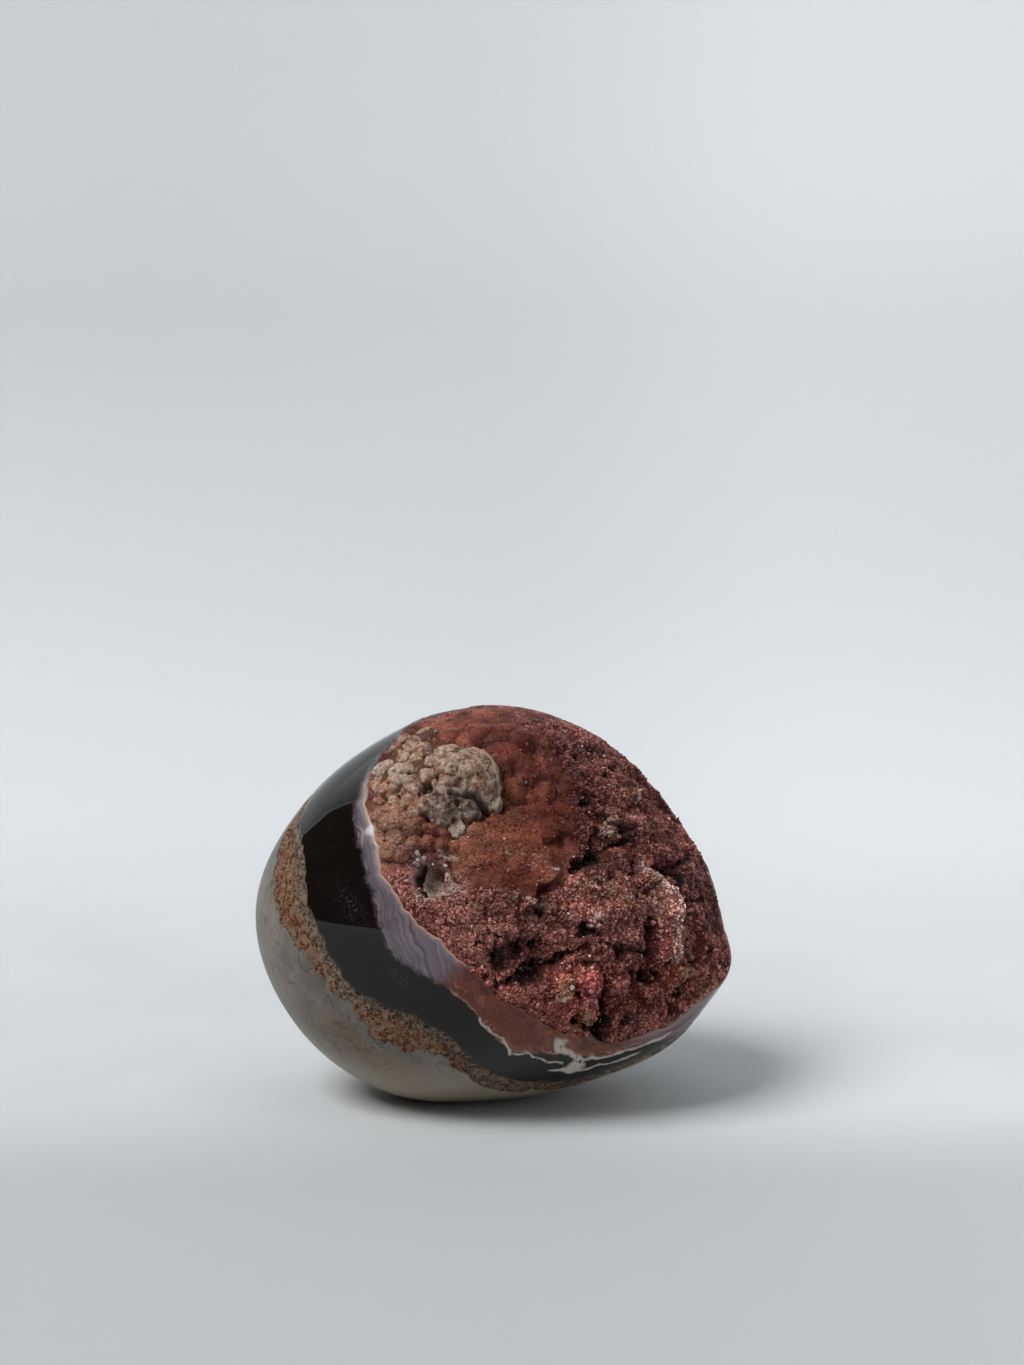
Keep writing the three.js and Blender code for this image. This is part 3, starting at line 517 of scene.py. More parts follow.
def face_surface(way):
    """Radius of the finished face along each direction, with what its colours depend on."""
    reach = reach_to_rim(way)
    plain = plain_radius(way)
    point = way * plain[:, None]
    u, v = point @ RIGHT, point @ UP
    calm = nodular(u, v)
    lobes, apart = ball_reach(way, LOBE_BALLS, bend(point, 2.0, 0.015, 11), 0.12)
    knobs = ball_reach(way, KNOB_BALLS, bend(point, 1.8, 0.03, 17), 0.2)[0]
    radius = np.maximum(plain, np.maximum(lobes, knobs))
    rise = smooth(radius - plain, 0, 0.8)
    seam = (1 - smooth(np.minimum(apart, np.abs(lobes - plain)), 0, 0.25)) * (lobes > 0)
    wander = bend(point, 1.6, 0.6, 21)
    side_u, side_v = u + wander[:, 0], v + wander[:, 1]
    drop, cave_shade = cave_depth(side_u, side_v)
    radius = radius - drop + lip_rise(u + 0.5 * wander[:, 0], v)
    point = way * radius[:, None]
    small = bubbles(point + 0.4 * wander, 1.3, 51) - 0.6
    pores = bubbles(point + 0.3 * wander, 0.7, 55) - 0.6
    fine = noise(point / 0.45, 91)
    beady = 0.04 + 0.16 * smooth(noise(point / 4.0, 97), 0.0, 0.6)
    smooth_part = beady * small + 0.07 * pores + 0.3 * noise(point / 2.0, 93) + 0.05 * fine
    smooth_part = smooth_part - (0.16 + 0.4 * smooth(-u, 16, 20)) * seam
    heaps = bubbles(point + 1.6 * wander, 4.4, 61) - 0.6
    lumps = bubbles(point + wander, 2.1, 71) - 0.6
    grains = bubbles(point, 0.85, 81) - 0.5
    rough = np.abs(noise(point / 1.6, 95))
    druse_part = 1.3 * heaps + 0.85 * lumps + 0.32 * grains + 0.7 * rough + 0.12 * fine
    detail = calm * smooth_part + (1 - calm) * druse_part
    inside = smooth(1 - reach, -0.005, 0.06)
    edge_step = 0.3 * smooth(reach, 0.85, 0.99)
    under_lump = smooth(lump_radius(way, way * plain[:, None], plain) - plain, 0.0, 0.5)
    radius = radius + inside * detail - edge_step - 1.5 * under_lump
    slack = RIM_SLACK * (1 - 0.85 * smooth(v, 19, 26))
    cover = even_radius(way) + 0.1 + slack * (1 - np.minimum(reach, 1))
    shell = np.minimum(egg_radius(way) - 0.12, cover)
    radius = np.minimum(radius, shell)
    # Painted light and shade by height: sunk places, seams and creases get painted shade, and bubble tops
    # and heaps are painted lighter.
    deep = smooth(plain - radius, 0.3, 2.2)
    calm_light_by_height = 0.5 + 0.5 * rise + 2.5 * beady * small - 0.4 * seam
    rough_light_by_height = 0.62 + 0.8 * heaps + 0.6 * lumps + 0.3 * grains
    light_by_height = np.clip(calm * calm_light_by_height + (1 - calm) * rough_light_by_height - 0.8 * deep, 0, 1)
    return radius, {"u": u, "v": v, "calm": calm, "light_by_height": light_by_height, "shell": shell, "cave_shade": cave_shade}


def to_row(point):
    """From the egg's own axes to the standing stone, in millimetres."""
    turned = point.copy()
    turned[:, 1] = point[:, 1] * math.cos(LEAN) + point[:, 2] * math.sin(LEAN)
    turned[:, 2] = -point[:, 1] * math.sin(LEAN) + point[:, 2] * math.cos(LEAN)
    turned += CENTRE
    turned[:, 2] = np.maximum(turned[:, 2], 0)
    return turned


def make_piece(name, points, faces, floats=None, colours=None, flat=False):
    """A mesh object in metres from points in millimetres, with named values on its points."""
    mesh = bpy.data.meshes.new(name)
    mesh.from_pydata((points * MM).tolist(), [], faces)
    mesh.update()
    mesh.polygons.foreach_set("use_smooth", np.full(len(mesh.polygons), not flat))
    for key, values in (floats or {}).items():
        data = mesh.attributes.new(key, "FLOAT", "POINT").data
        data.foreach_set("value", np.asarray(values, np.float32))
    for key, values in (colours or {}).items():
        full = np.column_stack([values, np.ones(len(values))])
        data = mesh.attributes.new(key, "FLOAT_COLOR", "POINT").data
        data.foreach_set("color", np.asarray(full, np.float32).ravel())
    piece = bpy.data.objects.new(name, mesh)
    bpy.context.scene.collection.objects.link(piece)
    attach(piece, "root")
    return piece


def grid_faces(rows, columns, closed=False):
    """Four-sided faces of a grid of points, whose columns may close on themselves."""
    last = columns if closed else columns - 1
    i, j = np.meshgrid(np.arange(rows - 1), np.arange(last), indexing="ij")
    right = (j + 1) % columns
    near, far = i * columns, (i + 1) * columns
    return np.stack([near + j, near + right, far + right, far + j], axis=-1).reshape(-1, 4).tolist()


class Graph:
    """A material's node tree, built by short calls that give back sockets."""

    def __init__(self, name):
        self.material = bpy.data.materials.new(name)
        self.material.use_nodes = True
        self.tree = self.material.node_tree
        self.tree.nodes.clear()
        self.output = self.tree.nodes.new("ShaderNodeOutputMaterial")
        self.shader = self.tree.nodes.new("ShaderNodeBsdfPrincipled")
        self.tree.links.new(self.shader.outputs[0], self.output.inputs["Surface"])
        place = self.tree.nodes.new("ShaderNodeTexCoord").outputs["Object"]
        self.place = self.vector("SCALE", place, scale=1 / MM)

    def feed(self, socket, value):
        if isinstance(value, bpy.types.NodeSocket):
            self.tree.links.new(value, socket)
        elif hasattr(socket.default_value, "__len__"):
            number = tuple(value)
            socket.default_value = number + (1.0,) * (len(socket.default_value) - len(number))
        else:
            socket.default_value = value

    def node(self, kind, **settings):
        made = self.tree.nodes.new(kind)
        for key, value in settings.items():
            setattr(made, key, value)
        return made

    def vector(self, operation, first, second=None, scale=None):
        made = self.node("ShaderNodeVectorMath", operation=operation)
        self.feed(made.inputs[0], first)
        if second is not None:
            self.feed(made.inputs[1], second)
        if scale is not None:
            self.feed(made.inputs["Scale"], scale)
        return made.outputs[0]

    def math(self, operation, first, second=0.0):
        made = self.node("ShaderNodeMath", operation=operation)
        self.feed(made.inputs[0], first)
        self.feed(made.inputs[1], second)
        return made.outputs[0]

    def times(self, first, second):
        return self.math("MULTIPLY", first, second)

    def plus(self, first, second):
        return self.math("ADD", first, second)

    def value(self, name, output="Fac"):
        made = self.node("ShaderNodeAttribute", attribute_name=name)
        return made.outputs[output]

    def noise(self, scale, detail=3.0, roughness=0.5, place=None, distortion=0.0, colour=False):
        made = self.node("ShaderNodeTexNoise")
        self.feed(made.inputs["Vector"], self.place if place is None else place)
        for key, number in (("Scale", scale), ("Detail", detail), ("Roughness", roughness),
                            ("Distortion", distortion)):
            self.feed(made.inputs[key], number)
        return made.outputs["Color" if colour else "Fac"]

    def strands(self, phase, detail=2.0, roughness=0.6):
        """Irregular lines that follow where a value is the same."""
        made = self.node("ShaderNodeTexNoise", noise_dimensions="1D")
        self.feed(made.inputs["W"], phase)
        self.feed(made.inputs["Scale"], 1.0)
        self.feed(made.inputs["Detail"], detail)
        self.feed(made.inputs["Roughness"], roughness)
        return made.outputs["Fac"]

    def cells(self, scale, feature="F1", output="Distance", place=None):
        made = self.node("ShaderNodeTexVoronoi", feature=feature)
        self.feed(made.inputs["Vector"], self.place if place is None else place)
        self.feed(made.inputs["Scale"], scale)
        return made.outputs[output]

    def span(self, value, low, high, start=0.0, end=1.0):
        """value from low to high becomes start to end, eased and held at the ends."""
        made = self.node("ShaderNodeMapRange", interpolation_type="SMOOTHSTEP")
        for key, number in (("Value", value), ("From Min", low), ("From Max", high), ("To Min", start),
                            ("To Max", end)):
            self.feed(made.inputs[key], number)
        return made.outputs["Result"]

    def mix(self, amount, first, second, blend="MIX"):
        made = self.node("ShaderNodeMix", data_type="RGBA", blend_type=blend)
        self.feed(made.inputs["Factor"], amount)
        self.feed(made.inputs[6], first)
        self.feed(made.inputs[7], second)
        return made.outputs[2]

    def stain(self, base, by):
        """base with another colour multiplied onto it."""
        return self.mix(1.0, base, by, "MULTIPLY")

    def fade(self, base, saturation, brightness):
        made = self.node("ShaderNodeHueSaturation")
        self.feed(made.inputs["Color"], base)
        self.feed(made.inputs["Saturation"], saturation)
        self.feed(made.inputs["Value"], brightness)
        return made.outputs[0]

    def blend(self, amount, first, second):
        made = self.node("ShaderNodeMix", data_type="FLOAT")
        self.feed(made.inputs["Factor"], amount)
        self.feed(made.inputs[2], first)
        self.feed(made.inputs[3], second)
        return made.outputs[0]

    def bump(self, height, distance, strength=1.0, normal=None):
        made = self.node("ShaderNodeBump")
        self.feed(made.inputs["Height"], height)
        self.feed(made.inputs["Distance"], distance * MM)
        self.feed(made.inputs["Strength"], strength)
        if normal is not None:
            self.feed(made.inputs["Normal"], normal)
        return made.outputs[0]

    def finish(self, **inputs):
        for key, value in inputs.items():
            self.feed(self.shader.inputs[key.replace("_", " ")], value)
        return self.material


def colour(red, green, blue):
    return tuple(linear((red, green, blue)))


def polished_material():
    """Black agate, its lavender and brown edge, the rough orange band and the satin grey-green matrix."""
    g = Graph("polished_agate")
    out, warm, along = g.value("out"), g.value("warm"), g.value("along")
    coarse = g.times(g.math("SUBTRACT", g.noise(0.34, 3.0, 0.6), 0.5), 3.4)
    ragged = g.times(g.math("SUBTRACT", g.noise(0.9, 5.0, 0.65), 0.5), 2.2)
    fine_ragged = g.times(g.math("SUBTRACT", g.noise(2.6, 4.0, 0.7), 0.5), 1.2)

    black_gap = g.plus(g.value("black_gap"), g.times(ragged, 0.75))
    black = g.span(black_gap, -0.06, 0.06)
    band_gap = g.plus(g.value("band_gap"), g.plus(ragged, coarse))
    band_in = g.span(band_gap, -0.15, 0.15)

    ink = black_agate(g)
    veil_gap = g.plus(g.value("veil_gap"), g.times(fine_ragged, 0.9))
    frayed = g.times(g.math("SUBTRACT", 1.0, warm), ragged)
    veil_gap = g.plus(veil_gap, g.times(frayed, 0.9))
    veil = g.span(veil_gap, -0.3, g.blend(warm, 1.3, 0.4))
    ink = g.mix(veil, ink, g.mix(warm, lavender_hairs(g, out, along), brown_agate(g, out)))
    ink = edge_lines(g, ink, out, warm, fine_ragged)

    matrix, cloud = satin_matrix(g)
    grit = g.noise(2.3, 5.0, 0.78)
    rough_zone = g.mix(band_in, matrix, rusty_grit(g, grit))
    base = g.mix(black, rough_zone, ink)
    roughness = g.blend(band_in, g.span(cloud, 0.3, 0.7, 0.34, 0.5), 0.92)
    roughness = g.blend(black, roughness, g.blend(veil, 0.035, 0.1))

    band_only = g.times(band_in, g.math("SUBTRACT", 1.0, black))
    normal = g.bump(g.times(grit, band_only), 0.9, 1.0)
    satin = g.times(g.noise(1.4, 4.0, 0.6), g.math("SUBTRACT", 1.0, black))
    normal = g.bump(satin, 0.05, 0.5, normal)
    return g.finish(Base_Color=base, Roughness=roughness, Normal=normal, IOR=1.43)


def black_agate(g):
    """Nearly black, with clusters of grey specks and a faint brown cast."""
    scattered = g.times(g.span(g.noise(0.22, 2.0), 0.54, 0.68), g.span(g.noise(2.6, 4.0, 0.7), 0.6, 0.7))
    placed = g.times(g.value("specks"), g.span(g.noise(1.9, 4.0, 0.75), 0.5, 0.62))
    specks = g.math("MAXIMUM", g.times(scattered, 0.5), placed)
    ink = g.mix(g.times(specks, 0.5), colour(15, 11, 9), colour(128, 118, 122))
    return g.mix(g.span(g.noise(0.3, 3.0), 0.5, 0.75, 0.0, 0.5), ink, colour(34, 20, 15))


def lavender_hairs(g, out, along):
    """Grey-violet chalcedony whose fine hairs run along the edge and then turn out of it."""
    curl = g.noise(0.11, 2.0, 0.5)
    curl_fine = g.noise(0.5, 2.0, 0.5)
    fan = g.span(along, 74.0, 98.0, 0.0, 0.5)
    phase = g.math("SUBTRACT", out, g.times(fan, g.math("SUBTRACT", along, 78.0)))
    phase = g.plus(phase, g.times(curl, 4.0))
    phase = g.plus(phase, g.times(curl_fine, 0.9))
    bundle = g.strands(g.times(phase, 0.9), 2.0, 0.5)
    hair = g.strands(g.times(phase, 2.6), 3.0, 0.65)
    grey = g.mix(g.span(bundle, 0.25, 0.75), colour(84, 72, 79), colour(116, 104, 112))
    grey = g.mix(g.span(hair, 0.5, 0.76, 0.0, 0.65), grey, colour(164, 153, 158))
    grey = g.mix(g.span(hair, 0.45, 0.25, 0.0, 0.3), grey, colour(70, 60, 66))
    grey = g.mix(g.span(g.noise(0.35, 3.0), 0.45, 0.7, 0.0, 0.6), grey, colour(86, 82, 92))
    return g.mix(g.span(out, 1.6, 0.1, 0.0, 0.3), grey, colour(164, 148, 146))


def brown_agate(g, out):
    """Red-brown polished agate with soft blots and a few thin contour lines."""
    flow = g.plus(g.times(out, 0.7), g.times(g.noise(0.2, 3.0), 12.0))
    rings = g.strands(flow, 1.0)
    brown = g.mix(g.span(rings, 0.3, 0.7), colour(84, 38, 28), colour(116, 58, 42))
    brown = g.mix(g.span(g.noise(0.2, 3.0, 0.55), 0.42, 0.62, 0.0, 0.85), brown, colour(116, 58, 34))
    pale = g.span(g.noise(0.26, 4.0, 0.6, distortion=1.0), 0.5, 0.66, 0.0, 0.5)
    brown = g.mix(pale, brown, colour(148, 90, 74))
    brown = g.mix(g.span(g.noise(0.33, 3.0, 0.6), 0.56, 0.7, 0.0, 0.7), brown, colour(62, 28, 21))
    edge = g.times(g.span(g.value("veil_gap"), 2.2, 0.6), g.span(rings, 0.52, 0.62, 0.0, 0.8))
    return g.mix(edge, brown, colour(164, 116, 98))


def edge_lines(g, ink, out, warm, fine_ragged):
    """The thin lines along the edges: pink at the lavender, tan at the brown, and white streaks."""
    near = g.plus(out, g.times(fine_ragged, 0.5))
    rim_line = g.times(g.span(near, 0.05, 0.6, 1.0, 0.0), g.value("rim_pale"))
    ink = g.mix(g.times(rim_line, 0.8), ink, colour(184, 142, 126))
    seam_gap = g.math("ABSOLUTE", g.plus(g.value("veil_gap"), g.times(fine_ragged, 0.7)))
    seam = g.times(g.span(seam_gap, 0.05, 0.3, 1.0, 0.0), warm)
    seam = g.times(seam, g.span(g.noise(0.4, 3.0), 0.4, 0.55))
    ink = g.mix(g.times(seam, 0.75), ink, colour(156, 122, 90))
    white = g.times(g.value("white"), g.span(g.noise(1.3, 4.0, 0.6), 0.32, 0.46))
    return g.mix(white, ink, colour(196, 184, 172))


def rusty_grit(g, grit):
    """Granular rock: small tan, orange, brown and cream grains with dark gaps."""
    bent = g.vector("ADD", g.place, g.vector("SCALE", g.noise(1.8, 3.0, colour=True), scale=1.1))
    grain = g.cells(2.4, output="Color", place=bent)
    patch = g.math("SUBTRACT", g.noise(0.42, 4.0, 0.65), 0.5)
    rust = g.plus(g.times(g.value("rust"), 0.9), g.times(patch, 4.0))
    bright = g.mix(g.span(rust, 0.15, 0.9), colour(130, 114, 100), colour(166, 100, 62))
    rusty = g.mix(g.span(grain, 0.3, 0.5), g.stain(bright, colour(150, 138, 130)), bright)
    rusty = g.mix(g.span(grain, 0.58, 0.72, 0.0, 0.6), rusty, colour(186, 154, 124))
    rusty = g.mix(g.span(grit, 0.54, 0.68, 0.0, 0.6), rusty, colour(176, 138, 106))
    coarse = g.cells(1.3, output="Color", place=bent)
    rusty = g.mix(g.span(coarse, 0.62, 0.68, 0.0, 0.5), rusty, colour(196, 166, 138))
    rusty = g.mix(g.span(g.noise(4.4, 3.0, 0.7), 0.36, 0.5, 0.45, 0.0), rusty, colour(60, 42, 30))
    return g.mix(g.span(grit, 0.38, 0.46, 0.85, 0.0), rusty, colour(44, 29, 20))


def satin_matrix(g):
    """Grey-green host rock with fine curved veins, faint scratches and a browner patch below."""
    cloud = g.noise(0.12, 4.0, 0.55, distortion=0.6)
    matrix = g.mix(g.span(cloud, 0.35, 0.65), colour(96, 90, 81), colour(122, 115, 104))
    mottled = g.mix(g.span(g.noise(0.9, 5.0, 0.7), 0.4, 0.6), colour(94, 73, 52), colour(114, 97, 72))
    matrix = g.mix(g.value("patch"), matrix, mottled)
    fold = g.noise(0.11, 3.0, 0.5, distortion=1.4)
    veins = g.span(g.math("ABSOLUTE", g.math("SUBTRACT", fold, 0.5)), 0.003, 0.018, 1.0, 0.0)
    fold_more = g.noise(0.22, 2.0, 0.5, distortion=2.0)
    more = g.span(g.math("ABSOLUTE", g.math("SUBTRACT", fold_more, 0.46)), 0.0, 0.01, 0.8, 0.0)
    matrix = g.mix(g.times(g.math("MAXIMUM", veins, more), 0.7), matrix, colour(52, 50, 45))
    streaks = g.noise(0.17, 3.0, 0.55, distortion=1.0)
    pale = g.span(g.math("ABSOLUTE", g.math("SUBTRACT", streaks, 0.55)), 0.0, 0.01, 0.4, 0.0)
    matrix = g.mix(pale, matrix, colour(142, 140, 128))
    matrix = g.mix(g.span(g.noise(2.2, 3.0, 0.6), 0.64, 0.72, 0.0, 0.6), matrix, colour(46, 42, 36))
    height = g.node("ShaderNodeSeparateXYZ")
    g.feed(height.inputs[0], g.place)
    matrix = g.mix(g.span(height.outputs["Z"], 16.0, 1.0, 0.0, 0.75), matrix, colour(168, 156, 136))
    return matrix, cloud


def face_material(name):
    """Stained quartz: the place's own tint, broken up at the scale of the grains, with painted shade in low
    places, between the quartz points and in the pinholes.
    """
    g = Graph(name)
    tint = g.value("tint", "Color")
    light_by_height, calm = g.value("light_by_height"), g.value("calm")
    speckle = g.noise(3.0, 4.0, 0.7)
    dark = g.stain(tint, colour(160, 136, 128))
    light = g.fade(tint, 0.95, 1.25)
    base = g.mix(g.span(speckle, 0.36, 0.64), dark, light)
    # Painted shade: the druse crust is darkened so the gaps between the quartz points read as shaded.
    shade = g.mix(calm, colour(186, 180, 178), (1.0, 1.0, 1.0))
    base = g.stain(base, shade)
    stain = g.span(g.noise(0.6, 4.0, 0.6), 0.5, 0.7, 0.0, 0.55)
    base = g.mix(g.times(stain, calm), base, g.mix(0.4, tint, colour(158, 108, 74)))
    dusk = g.span(g.noise(0.35, 4.0, 0.6), 0.5, 0.68, 0.0, 0.7)
    base = g.mix(g.times(dusk, calm), base, g.stain(tint, colour(150, 132, 120)))
    # Painted shade where the face lies low.
    base = g.mix(g.span(light_by_height, 0.05, 0.62, 0.9, 0.0), base, g.stain(tint, colour(92, 60, 52)))
    # Painted shade: pinholes painted nearly black.
    pinhole_shade = g.times(calm, g.span(g.cells(1.1), 0.1, 0.22, 0.95, 0.0))
    pinhole_shade = g.times(pinhole_shade, g.span(g.noise(0.4, 2.0), 0.47, 0.55))
    base = g.mix(pinhole_shade, base, colour(36, 20, 16))
    normal = g.bump(g.noise(3.6, 4.0, 0.7), 0.1, 1.0)
    normal = g.bump(pinhole_shade, -0.15, 0.8, normal)
    return g.finish(Base_Color=base, Roughness=0.5, Normal=normal, Specular_IOR_Level=0.12)


def crystal_material(glow=0.0):
    """Small quartz points, each with its own depth of stain, with painted shade on the low ones and a few
    painted near white as glints.
    """
    g = Graph("quartz_points")
    tint = g.value("tint", "Color")
    tone = g.value("tone")
    deep = g.stain(tint, colour(176, 156, 150))
    base = g.mix(g.span(tone, 0.1, 0.95), deep, g.fade(tint, 0.82, 1.75))
    # Painted shade on points that stand low in the druse.
    sunk = g.span(g.value("light_by_height"), 0.0, 0.6, 0.92, 0.0)
    base = g.mix(sunk, base, g.stain(tint, colour(84, 56, 50)))
    # Painted glints: a rare few points painted near white.
    base = g.mix(g.span(tone, 0.988, 0.994), base, colour(226, 210, 204))
    roughness = g.span(tone, 0.86, 0.93, 0.42, 0.1)
    return g.finish(Base_Color=base, Roughness=roughness, Specular_IOR_Level=0.24, IOR=1.54,
                    Subsurface_Weight=glow, Subsurface_Scale=0.001)


def lump_material():
    """Matte beige nodules with brown painted shade in the creases, tops painted pale, and pinholes and
    holes painted dark as shade.
    """
    g = Graph("pale_nodules")
    light_by_height = g.value("light_by_height")
    tint = g.value("tint", "Color")
    crease_shade_and_stain = g.stain(tint, colour(118, 82, 56))
    pale = g.mix(0.36, tint, colour(222, 206, 198))
    stained = g.stain(tint, colour(214, 184, 158))
    base = g.mix(g.span(g.noise(0.9, 4.0, 0.65), 0.38, 0.62), stained, pale)
    # Painted shade: brown in the low creases and joints, so the nodule tops read pale.
    base = g.mix(g.span(light_by_height, 0.0, 0.55, 0.95, 0.0), base, crease_shade_and_stain)
    # The same brown, spread by noise as a stain.
    base = g.mix(g.span(g.noise(3.0, 4.0, 0.75), 0.36, 0.56, 0.6, 0.0), base, crease_shade_and_stain)
    base = g.mix(g.times(g.value("ridge"), 0.5), base, colour(190, 176, 150))
    # Painted shade: pinholes painted nearly black.
    pinhole_shade = g.times(g.span(g.cells(1.25), 0.1, 0.22, 1.0, 0.0), g.span(g.noise(0.6, 2.0), 0.46, 0.54))
    base = g.mix(pinhole_shade, base, colour(34, 24, 18))
    # Painted shade: the cleft, the holes and the crater are painted dark.
    base = g.mix(g.value("hole_sink_and_shade"), base, colour(46, 30, 23))
    normal = g.bump(g.noise(3.2, 5.0, 0.75), 0.2, 0.8)
    normal = g.bump(pinhole_shade, -0.2, 0.8, normal)
    return g.finish(Base_Color=base, Roughness=0.6, Normal=normal, Specular_IOR_Level=0.3)


def zone_gap(ends, turn, out):
    return (ring_value(ends, turn) - out) * MM_PER_DEGREE


def make_polished_body():
    """The polished egg from the rim of the face round to its back, as one closed mesh."""
    columns, near_rows, far_rows, near_end = 620, 96, 54, 42.0
    turn = np.arange(columns) / columns * 2 * math.pi
    rim = rim_angle(turn)
    step = np.concatenate([np.linspace(0, near_end, near_rows, endpoint=False) / 180,
                           np.linspace(near_end / 180, 1, far_rows, endpoint=False)])
    near = np.radians(step[:, None] * 180)
    span = math.pi - rim[None, :]
    angle = rim[None, :] + np.where(near < math.radians(near_end), near, 0)
    rest = (step[:, None] - near_end / 180) / (1 - near_end / 180)
    beyond = rim[None, :] + math.radians(near_end) + (span - math.radians(near_end)) * rest
    angle = np.where(step[:, None] < near_end / 180, angle, beyond)
    rows = len(step)
    turns = np.broadcast_to(turn, angle.shape)
    way = face_way(angle.ravel(), turns.ravel())
    radius = egg_radius(way)
    out = np.degrees(angle - rim[None, :]).ravel()
    turns = turns.ravel()
    point = way * radius[:, None]
    black_gap = zone_gap(BLACK_END, turns, out)
    band_gap = zone_gap(BAND_END, turns, out)
    ragged = 1.1 * noise(point / 1.4, 5) + 0.6 * noise(point / 0.6, 6)
    in_band = smooth(black_gap + 0.5 * ragged, 0.3, -0.1) * smooth(band_gap + 0.5 * ragged, -0.2, 0.5)
    pitted = 0.32 + 0.26 * (1 - bubbles(point + bend(point, 0.7, 0.4, 8), 0.7, 9))
    pitted = pitted + 0.2 * noise(point / 0.4, 7)
    radius = radius - in_band * np.maximum(pitted, 0)
    point = way * radius[:, None]
    degrees = np.degrees(turns)
    warm = smooth(degrees, 219, 229) * (1 - 0.7 * smooth(degrees, 288, 302))
    bent = bend(point, 1.5, 0.7, 31)
    along, beyond = degrees * RIM_MM_PER_DEGREE, out * MM_PER_DEGREE
    white = np.zeros(len(out))
    for line, half in WHITE_LINES:
        scaled = [(turned * RIM_MM_PER_DEGREE, past * MM_PER_DEGREE) for turned, past in line]
        far = line_distance(along + bent[:, 0], beyond + bent[:, 1], scaled)
        white = np.maximum(white, 1 - smooth(far, 0.6 * half, 1.3 * half))
    upper = np.exp(-(((out - 0.5) / 1.3) ** 2))
    upper = upper * smooth(degrees, 140, 152) * (1 - smooth(degrees, 176, 190))
    specks = 0.35 * np.exp(-(((degrees - 187) / 7) ** 2) - ((out - 13) / 3.0) ** 2)
    specks += 0.5 * np.exp(-(((degrees - 214) / 4) ** 2) - ((out - 17) / 1.6) ** 2)
    rim_pale = smooth(degrees, 140, 160) * (1 - smooth(degrees, 222, 230))
    rim_pale = rim_pale + 0.5 * smooth(degrees, 286, 300)
    patch = np.exp(-(((degrees - 226) / 17) ** 2) - ((out - 47) / 9) ** 2)
    patch = smooth(band_gap, -1.2, -3.4) * patch * 1.9
    values = {
        "out": out * MM_PER_DEGREE,
        "veil_gap": zone_gap(VEIL_END, turns, out),
        "black_gap": black_gap,
        "band_gap": band_gap,
        "warm": warm,
        "along": degrees * RIM_MM_PER_DEGREE,
        "specks": np.clip(specks, 0, 1),
        "rim_pale": rim_pale,
        "white": np.clip(white + 0.2 * upper, 0, 1),
        "rust": smooth(black_gap, -1.4, -3.2) * (1 - smooth(degrees, 236, 262)),
        "patch": np.clip(patch, 0, 1),
    }
    back = -FACE_AXIS[None, :]
    inner = np.zeros((1, 3))
    points = to_row(np.vstack([point, back * egg_radius(back)[:, None], inner]))
    faces = grid_faces(rows, columns, closed=True)
    pole, core = rows * columns, rows * columns + 1
    last = (rows - 1) * columns
    for j in range(columns):
        k = (j + 1) % columns
        faces.append((last + j, last + k, pole))
        faces.append((k, j, core))
    tail = {"out": [180, 0], "black_gap": [-60, 9], "band_gap": [-60, 9], "veil_gap": [-60, 9]}
    values = {key: np.concatenate([row, tail.get(key, [0, 0])]) for key, row in values.items()}
    piece = make_piece("polished_body", points, faces, floats=values)
    piece.data.materials.append(polished_material())
    return piece


def face_tint(found, point):
    """Colour of the druse and nodules at each place on the face, linear, with painted shade in the hollows,
    clefts and pits and a partly painted highlight on the lip.
    """
    u, v = found["u"], found["v"]
    mottle = smooth(noise(point / 2.6, 101) + 0.5 * noise(point / 1.1, 102), -0.7, 0.7)[:, None]
    total = (1 - mottle) * linear(DRUSE_DEEP) + mottle * linear(DRUSE_LIGHT)
    weight = np.full(len(u), 1.0)
    bent = bend(point, 2.0, 1.2, 111)
    for u0, v0, reach, strength, srgb in FACE_TINTS:
        away = (u + bent[:, 0] - u0) ** 2 + (v + bent[:, 1] - v0) ** 2
        amount = 2.2 * strength * np.exp(-away / reach**2)
        total = total + amount[:, None] * linear(srgb) * (0.8 + 0.4 * mottle)
        weight = weight + amount
    rough = 1 - found["calm"]
    brown = found["calm"] * smooth(u, -17, -9)
    stain = 1 - rough[:, None] * (1 - DRUSE_STAIN) - brown[:, None] * (1 - CALM_STAIN)
    tint = total / weight[:, None] * stain
    wisp = noise(point / np.array([1.6, 1.6, 0.5]), 121) + 0.6 * noise(point / 0.35, 122)
    wisp = smooth(wisp, 0.0, 0.7)
    streak = 0.8 * np.exp(-((line_distance(u, v, STREAK_LINE) / 0.8) ** 2)) * wisp
    crest = 0.6 * np.exp(-((line_distance(u, v, CREST_LINE) / 0.4) ** 2)) * wisp
    # The lip: a pale edge, painted paler still as a highlight where the light strikes it.
    pale_lip_and_highlight = 1.3 * np.exp(-((line_distance(u, v, LIP_LINE) / 0.9) ** 2)) * (0.5 + 0.5 * wisp)
    sliver = 1.2 * np.exp(-((line_distance(u, v, [(-18.4, 1.2), (-16, -0.4)]) / 0.35) ** 2))
    pale_lip_and_highlight = np.clip(pale_lip_and_highlight, 0, 1)[:, None]
    tint = tint * (1 - pale_lip_and_highlight) + pale_lip_and_highlight * linear((226, 196, 186))
    pale = np.clip(streak + crest + sliver, 0, 1)[:, None]
    tint = tint * (1 - pale) + pale * linear((196, 180, 162))
    lower = 1 + 0.3 * smooth(-v, 13, 22)
    # Painted shade: hollows, clefts and pits are darkened nearly to black, as if in deep shadow.
    return tint * (lower * (1 - 0.94 * found["cave_shade"]))[:, None]


